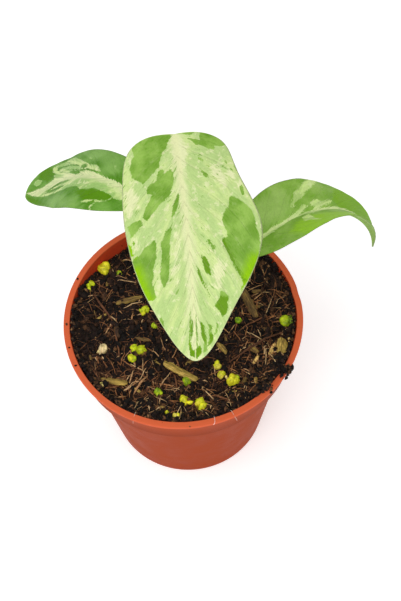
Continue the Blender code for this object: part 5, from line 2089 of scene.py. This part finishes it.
        level = np.maximum(level, ground) + (lift + thickness)[:, None] * np.sin(math.pi * t) ** 0.7
        path = np.concatenate([flat, level[..., None]], axis=-1)
        radii = thickness[:, None] * (0.45 + 0.55 * np.sin(math.pi * t))
        square_to = np.tile([0.0, 0.0, 1.0], (count, 1))
        points, faces = loft(tube_rings(path, radii, 5, square_to))
        loose = [draw.uniform(0.15, 1.0, self.splinters), draw.uniform(0.1, 0.65, self.hairs)]
        tint = np.repeat(np.concatenate([twigs[:, 5], *loose]), len(points) // count)
        return points, faces, {"tint": tint}

    def clumps(self) -> Shape:
        """Works out the granules, each a clump of rough lumps, sunk by about a third.

        Returns:
            Points, faces and the tint at each point.
        """
        draw = np.random.default_rng(self.seed + 4)
        x, y, radius, tint = np.repeat(np.array(self.granules), self.lumps, axis=0).T
        count = len(x)
        size = radius * draw.uniform(0.70, 1.0, count)
        shift = draw.normal(size=(count, 3)) * (0.34, 0.34, 0.12) * radius[:, None]
        z = self.height(x, y) + radius * 0.5 + shift[:, 2]
        reach = self.granule_reach * size
        x, y = self.inside_wall(x + shift[:, 0], y + shift[:, 1], reach)
        centres = columns(x, y, z)
        points, faces = self.scattered(2, centres, size, self.granule_rough, draw)
        tint = tint + draw.uniform(-0.12, 0.12, count)
        return points, [faces], {"tint": np.repeat(tint, len(points) // count)}

    def pale_hairs(self) -> Shape:
        """Works out the hairs that lie over the rim and hang down outside it.

        Returns:
            Points, faces and the tint at each point.
        """
        paths = np.array([self.hair_path(*row[:4]) for row in self.rim_hairs])
        radii = np.full(paths.shape[:2], self.rim_hair_radius)
        square_to = np.tile([1.0, 0.0, 0.05], (len(paths), 1))
        points, faces = loft(tube_rings(paths, radii, 6, square_to))
        tint = np.repeat([row[4] for row in self.rim_hairs], len(points) // len(paths))
        return points, faces, {"tint": tint}

    def hair_path(self, x: float, y: float, drop: float, sway: float) -> Array:
        """Returns a hair's line, a Bezier curve from the soil over the rim.

        Args:
            x: The first coordinate of a place that the hair points to.
            y: That place's second coordinate.
            drop: How far the hair hangs down.
            sway: How far its end is moved along X.

        Returns:
            The line's points.
        """
        outward = np.array([x, y, 0.0]) / math.hypot(x, y)
        top = np.array([0.0, 0.0, POT_HEIGHT])
        start = outward * 0.0418 + top - (0.0, 0.0, 0.0004)
        rim = outward * (self.pot.rim_radius + 0.0002) + top
        end = rim + outward * 0.0002 + (sway, 0.0, -drop)
        handles = start + (0.0, 0.0, 0.0012), rim + (0.0, 0.0, 0.0008)
        return bezier(start, *handles, end, 12)


def metres(lengths: int, *rows: tuple[float, ...]) -> Rows:
    """Returns rows whose first numbers, so many of them, change from millimetres to metres."""
    return tuple(tuple(v * MM for v in row[:lengths]) + row[lengths:] for row in rows)


# Granules: centre x, centre y, radius; tint
GRANULES = metres(
    3,
    (-28.9, 27.8, 2.6, 0.56), (-29.8, 28.6, 1.2, 0.5), (-34.6, 19.1, 1.6, 0.34),
    (-23.0, 24.8, 1.2, 0.25), (-16.6, -9.0, 1.9, 0.44), (-19.0, -8.2, 1.6, 0.42),
    (-20.6, -11.8, 1.6, 0.44), (-31.0, -8.2, 1.9, 1.0), (-15.2, 7.2, 1.4, 0.4),
    (-13.5, 7.8, 1.1, 0.3), (-11.2, 0.4, 1.2, 0.28), (-1.0, -23.7, 1.8, 0.2),
    (-1.5, -31.8, 2.2, 0.5), (-10.7, -27.0, 1.6, 0.15), (4.0, -34.0, 2.7, 0.56),
    (5.6, -35.3, 2.0, 0.46), (-7.8, -35.7, 1.2, 0.45), (-4.3, -39.0, 1.4, 0.62),
    (17.2, -24.8, 2.3, 0.5), (15.8, -23.6, 1.2, 0.95), (11.6, -18.1, 1.6, 0.58),
    (13.0, -21.5, 1.3, 0.6), (38.8, -3.0, 2.2, 0.18), (-31.2, -24.0, 1.2, 0.75),
    (21.0, 0.0, 1.2, 0.15),
)
# Chips of bark: start x, start y, end x, end y, width; tint
CHIPS = metres(
    5,
    (-8.5, -15.3, 3.7, -23.8, 3.6, 0.66), (-32.5, -20.9, -22.2, -22.7, 2.6, 0.6),
    (23.5, 13.2, 27.7, 0.6, 3.4, 0.34), (36.8, -10.4, 35.6, -17.6, 4.4, 0.66),
    (31.3, -16.0, 34.0, -11.0, 2.0, 1.05), (23.6, -11.0, 27.2, -14.0, 2.2, 0.34),
    (24.9, -18.6, 27.1, -15.4, 1.4, 0.95), (39.0, -10.0, 39.5, -13.6, 1.1, 0.95),
    (-25.3, 11.2, -14.8, 13.4, 2.2, 0.44), (-6.0, 19.0, 3.0, 25.0, 2.8, 0.4),
    (12.0, 29.0, 20.0, 23.0, 2.6, 0.35),
)
# Twigs: start x, start y, end x, end y, radius; tint
TWIGS = metres(
    5,
    (-20.5, -27.5, -14.6, -20.4, 0.44, 0.78), (15.0, -17.2, 40.5, -6.2, 0.45, 0.24),
    (-33.8, 16.4, -26.2, 3.0, 0.45, 0.34), (-26.0, 2.0, -25.0, -12.0, 0.4, 0.44),
    (-5.2, -19.5, -3.8, -27.0, 0.34, 0.42), (8.0, -30.0, 15.0, -33.0, 0.45, 0.45),
    (20.0, -5.0, 33.0, 2.0, 0.32, 0.4),
)
# Spills on the rim: centre x, centre y, radius; number of crumbs
SPILLS = metres(
    3,
    (36.2, -25.4, 3.0, 80), (28.4, -31.2, 2.4, 44),
)
# Stray crumbs on the rim: centre x, centre y, radius
STRAY_CRUMBS = metres(
    3,
    (-39.0, 20.3, 0.6), (-43.8, 1.0, 0.5), (-43.1, -9.0, 0.6), (-40.9, -16.6, 0.5),
    (-0.4, -44.6, 0.4),
)
# Hairs over the rim: direction x, direction y, drop, sway; tint
RIM_HAIRS = metres(
    4,
    (-20.5, -39.1, 3.0, 0.2, 0.3), (15.8, -41.7, 2.4, 0.8, 0.4), (8.5, -40.5, 0.2, -1.2, 1.0),
)


# Studio and camera


@dataclass(frozen=True)
class Studio:
    """The pale floor, the soft sky and a large square lamp."""

    floor_half: float = 1.5
    floor_colour: Colour = (0.94, 0.94, 0.94, 1.0)
    floor_glow: float = 0.42
    sky: float = 0.50
    key_power: float = 7.0
    key_size: float = 0.9
    key_place: Triple = (-0.25, -0.45, 1.15)

    def build(self) -> None:
        """Makes the floor and the sky, and hangs the lamp."""
        corners = np.array([(-1, -1, 0), (1, -1, 0), (1, 1, 0), (-1, 1, 0)]) * self.floor_half
        mesh = bpy.data.meshes.new("floor")
        mesh.from_pydata(corners.tolist(), [], [(0, 1, 2, 3)])
        material, _, shader = new_material("floor", Roughness=0.9, Base_Color=self.floor_colour)
        shader.inputs["Emission Color"].default_value = (1.0, 1.0, 1.0, 1.0)
        shader.inputs["Emission Strength"].default_value = self.floor_glow
        mesh.materials.append(material)
        floor = new_object("floor", mesh)
        world = bpy.data.worlds.new("soft_sky")
        bpy.context.scene.world = world
        world.use_nodes = True
        sky = world.node_tree.nodes["Background"]
        sky.inputs["Color"].default_value = (1.0, 1.0, 1.0, 1.0)
        sky.inputs["Strength"].default_value = self.sky
        self.hang_lamp()
        bpy.context.scene.view_settings.view_transform = "Standard"
        LOG.info("studio built")

    def hang_lamp(self) -> None:
        """Hangs the lamp so that it faces the top of the pot."""
        data = bpy.data.lights.new("key", "AREA")
        data.shape, data.size, data.energy = "SQUARE", self.key_size, self.key_power
        lamp = new_object("key", data)
        away = np.array(self.key_place) - (0.0, 0.0, POT_HEIGHT)
        away /= np.linalg.norm(away)
        side = np.cross((0.0, 1.0, 0.0), away)
        side /= np.linalg.norm(side)
        turn = Matrix(columns(side, np.cross(away, side), away).tolist()).to_4x4()
        lamp.matrix_world = Matrix.Translation(self.key_place) @ turn


@dataclass(frozen=True)
class PhotoCamera:
    """The photograph's camera, fitted to the rim's ellipse and the pot's outline.

    It stands in front of the rim's centre, looks down at it, is turned a little so
    that the centre leaves the middle of the frame, and is rolled.
    """

    focal_pixels: float = 1400.0
    frame_pixels: float = 601.0
    sensor: float = 36.0
    elevation: float = 61.75
    distance: float = 0.5267
    turn_pixels: float = -18.85
    tip_pixels: float = 16.25
    roll: float = 4.245

    def build(self) -> Piece:
        """Makes the camera and lets the scene use it."""
        e, roll = math.radians(self.elevation), math.radians(self.roll)
        right = np.array([1.0, 0.0, 0.0])
        forward = np.array([0.0, math.cos(e), -math.sin(e)])
        up = np.array([0.0, math.sin(e), math.cos(e)])
        place = np.array([0.0, 0.0, POT_HEIGHT]) - forward * self.distance
        a = math.atan(self.turn_pixels / self.focal_pixels)
        b = math.atan(self.tip_pixels / self.focal_pixels)
        side = right * math.cos(a) + forward * math.sin(a)
        ahead = forward * math.cos(a) - right * math.sin(a)
        top = up * math.cos(b) - ahead * math.sin(b)
        ahead = up * math.sin(b) + ahead * math.cos(b)
        x = side * math.cos(roll) - top * math.sin(roll)
        y = side * math.sin(roll) + top * math.cos(roll)
        data = bpy.data.cameras.new("photo_camera")
        data.sensor_width = self.sensor
        data.lens = self.focal_pixels / self.frame_pixels * self.sensor
        data.clip_start, data.clip_end = 0.01, 20.0
        camera = new_object("photo_camera", data)
        turn = Matrix(columns(x, y, -ahead).tolist()).to_4x4()
        camera.matrix_world = Matrix.Translation(place.tolist()) @ turn
        bpy.context.scene.camera = camera
        return camera


def main() -> None:
    """Builds the pot, the potting mix, the plant, the studio and the camera."""
    logging.basicConfig(level=logging.INFO, format="%(name)s: %(message)s")
    LOG.info("frame nodes: %s", ", ".join(sorted(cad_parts)))
    pot = NurseryPot()
    pot.build()
    PottingMix(
        pot, granules=GRANULES, chips=CHIPS, twigs=TWIGS, spills=SPILLS,
        stray_crumbs=STRAY_CRUMBS, rim_hairs=RIM_HAIRS,
    ).build()
    blades = make_blades()
    make_stem(*blades).build()
    for blade in blades:
        blade.build()
    Studio().build()
    PhotoCamera().build()


if __name__ == "__main__":
    main()
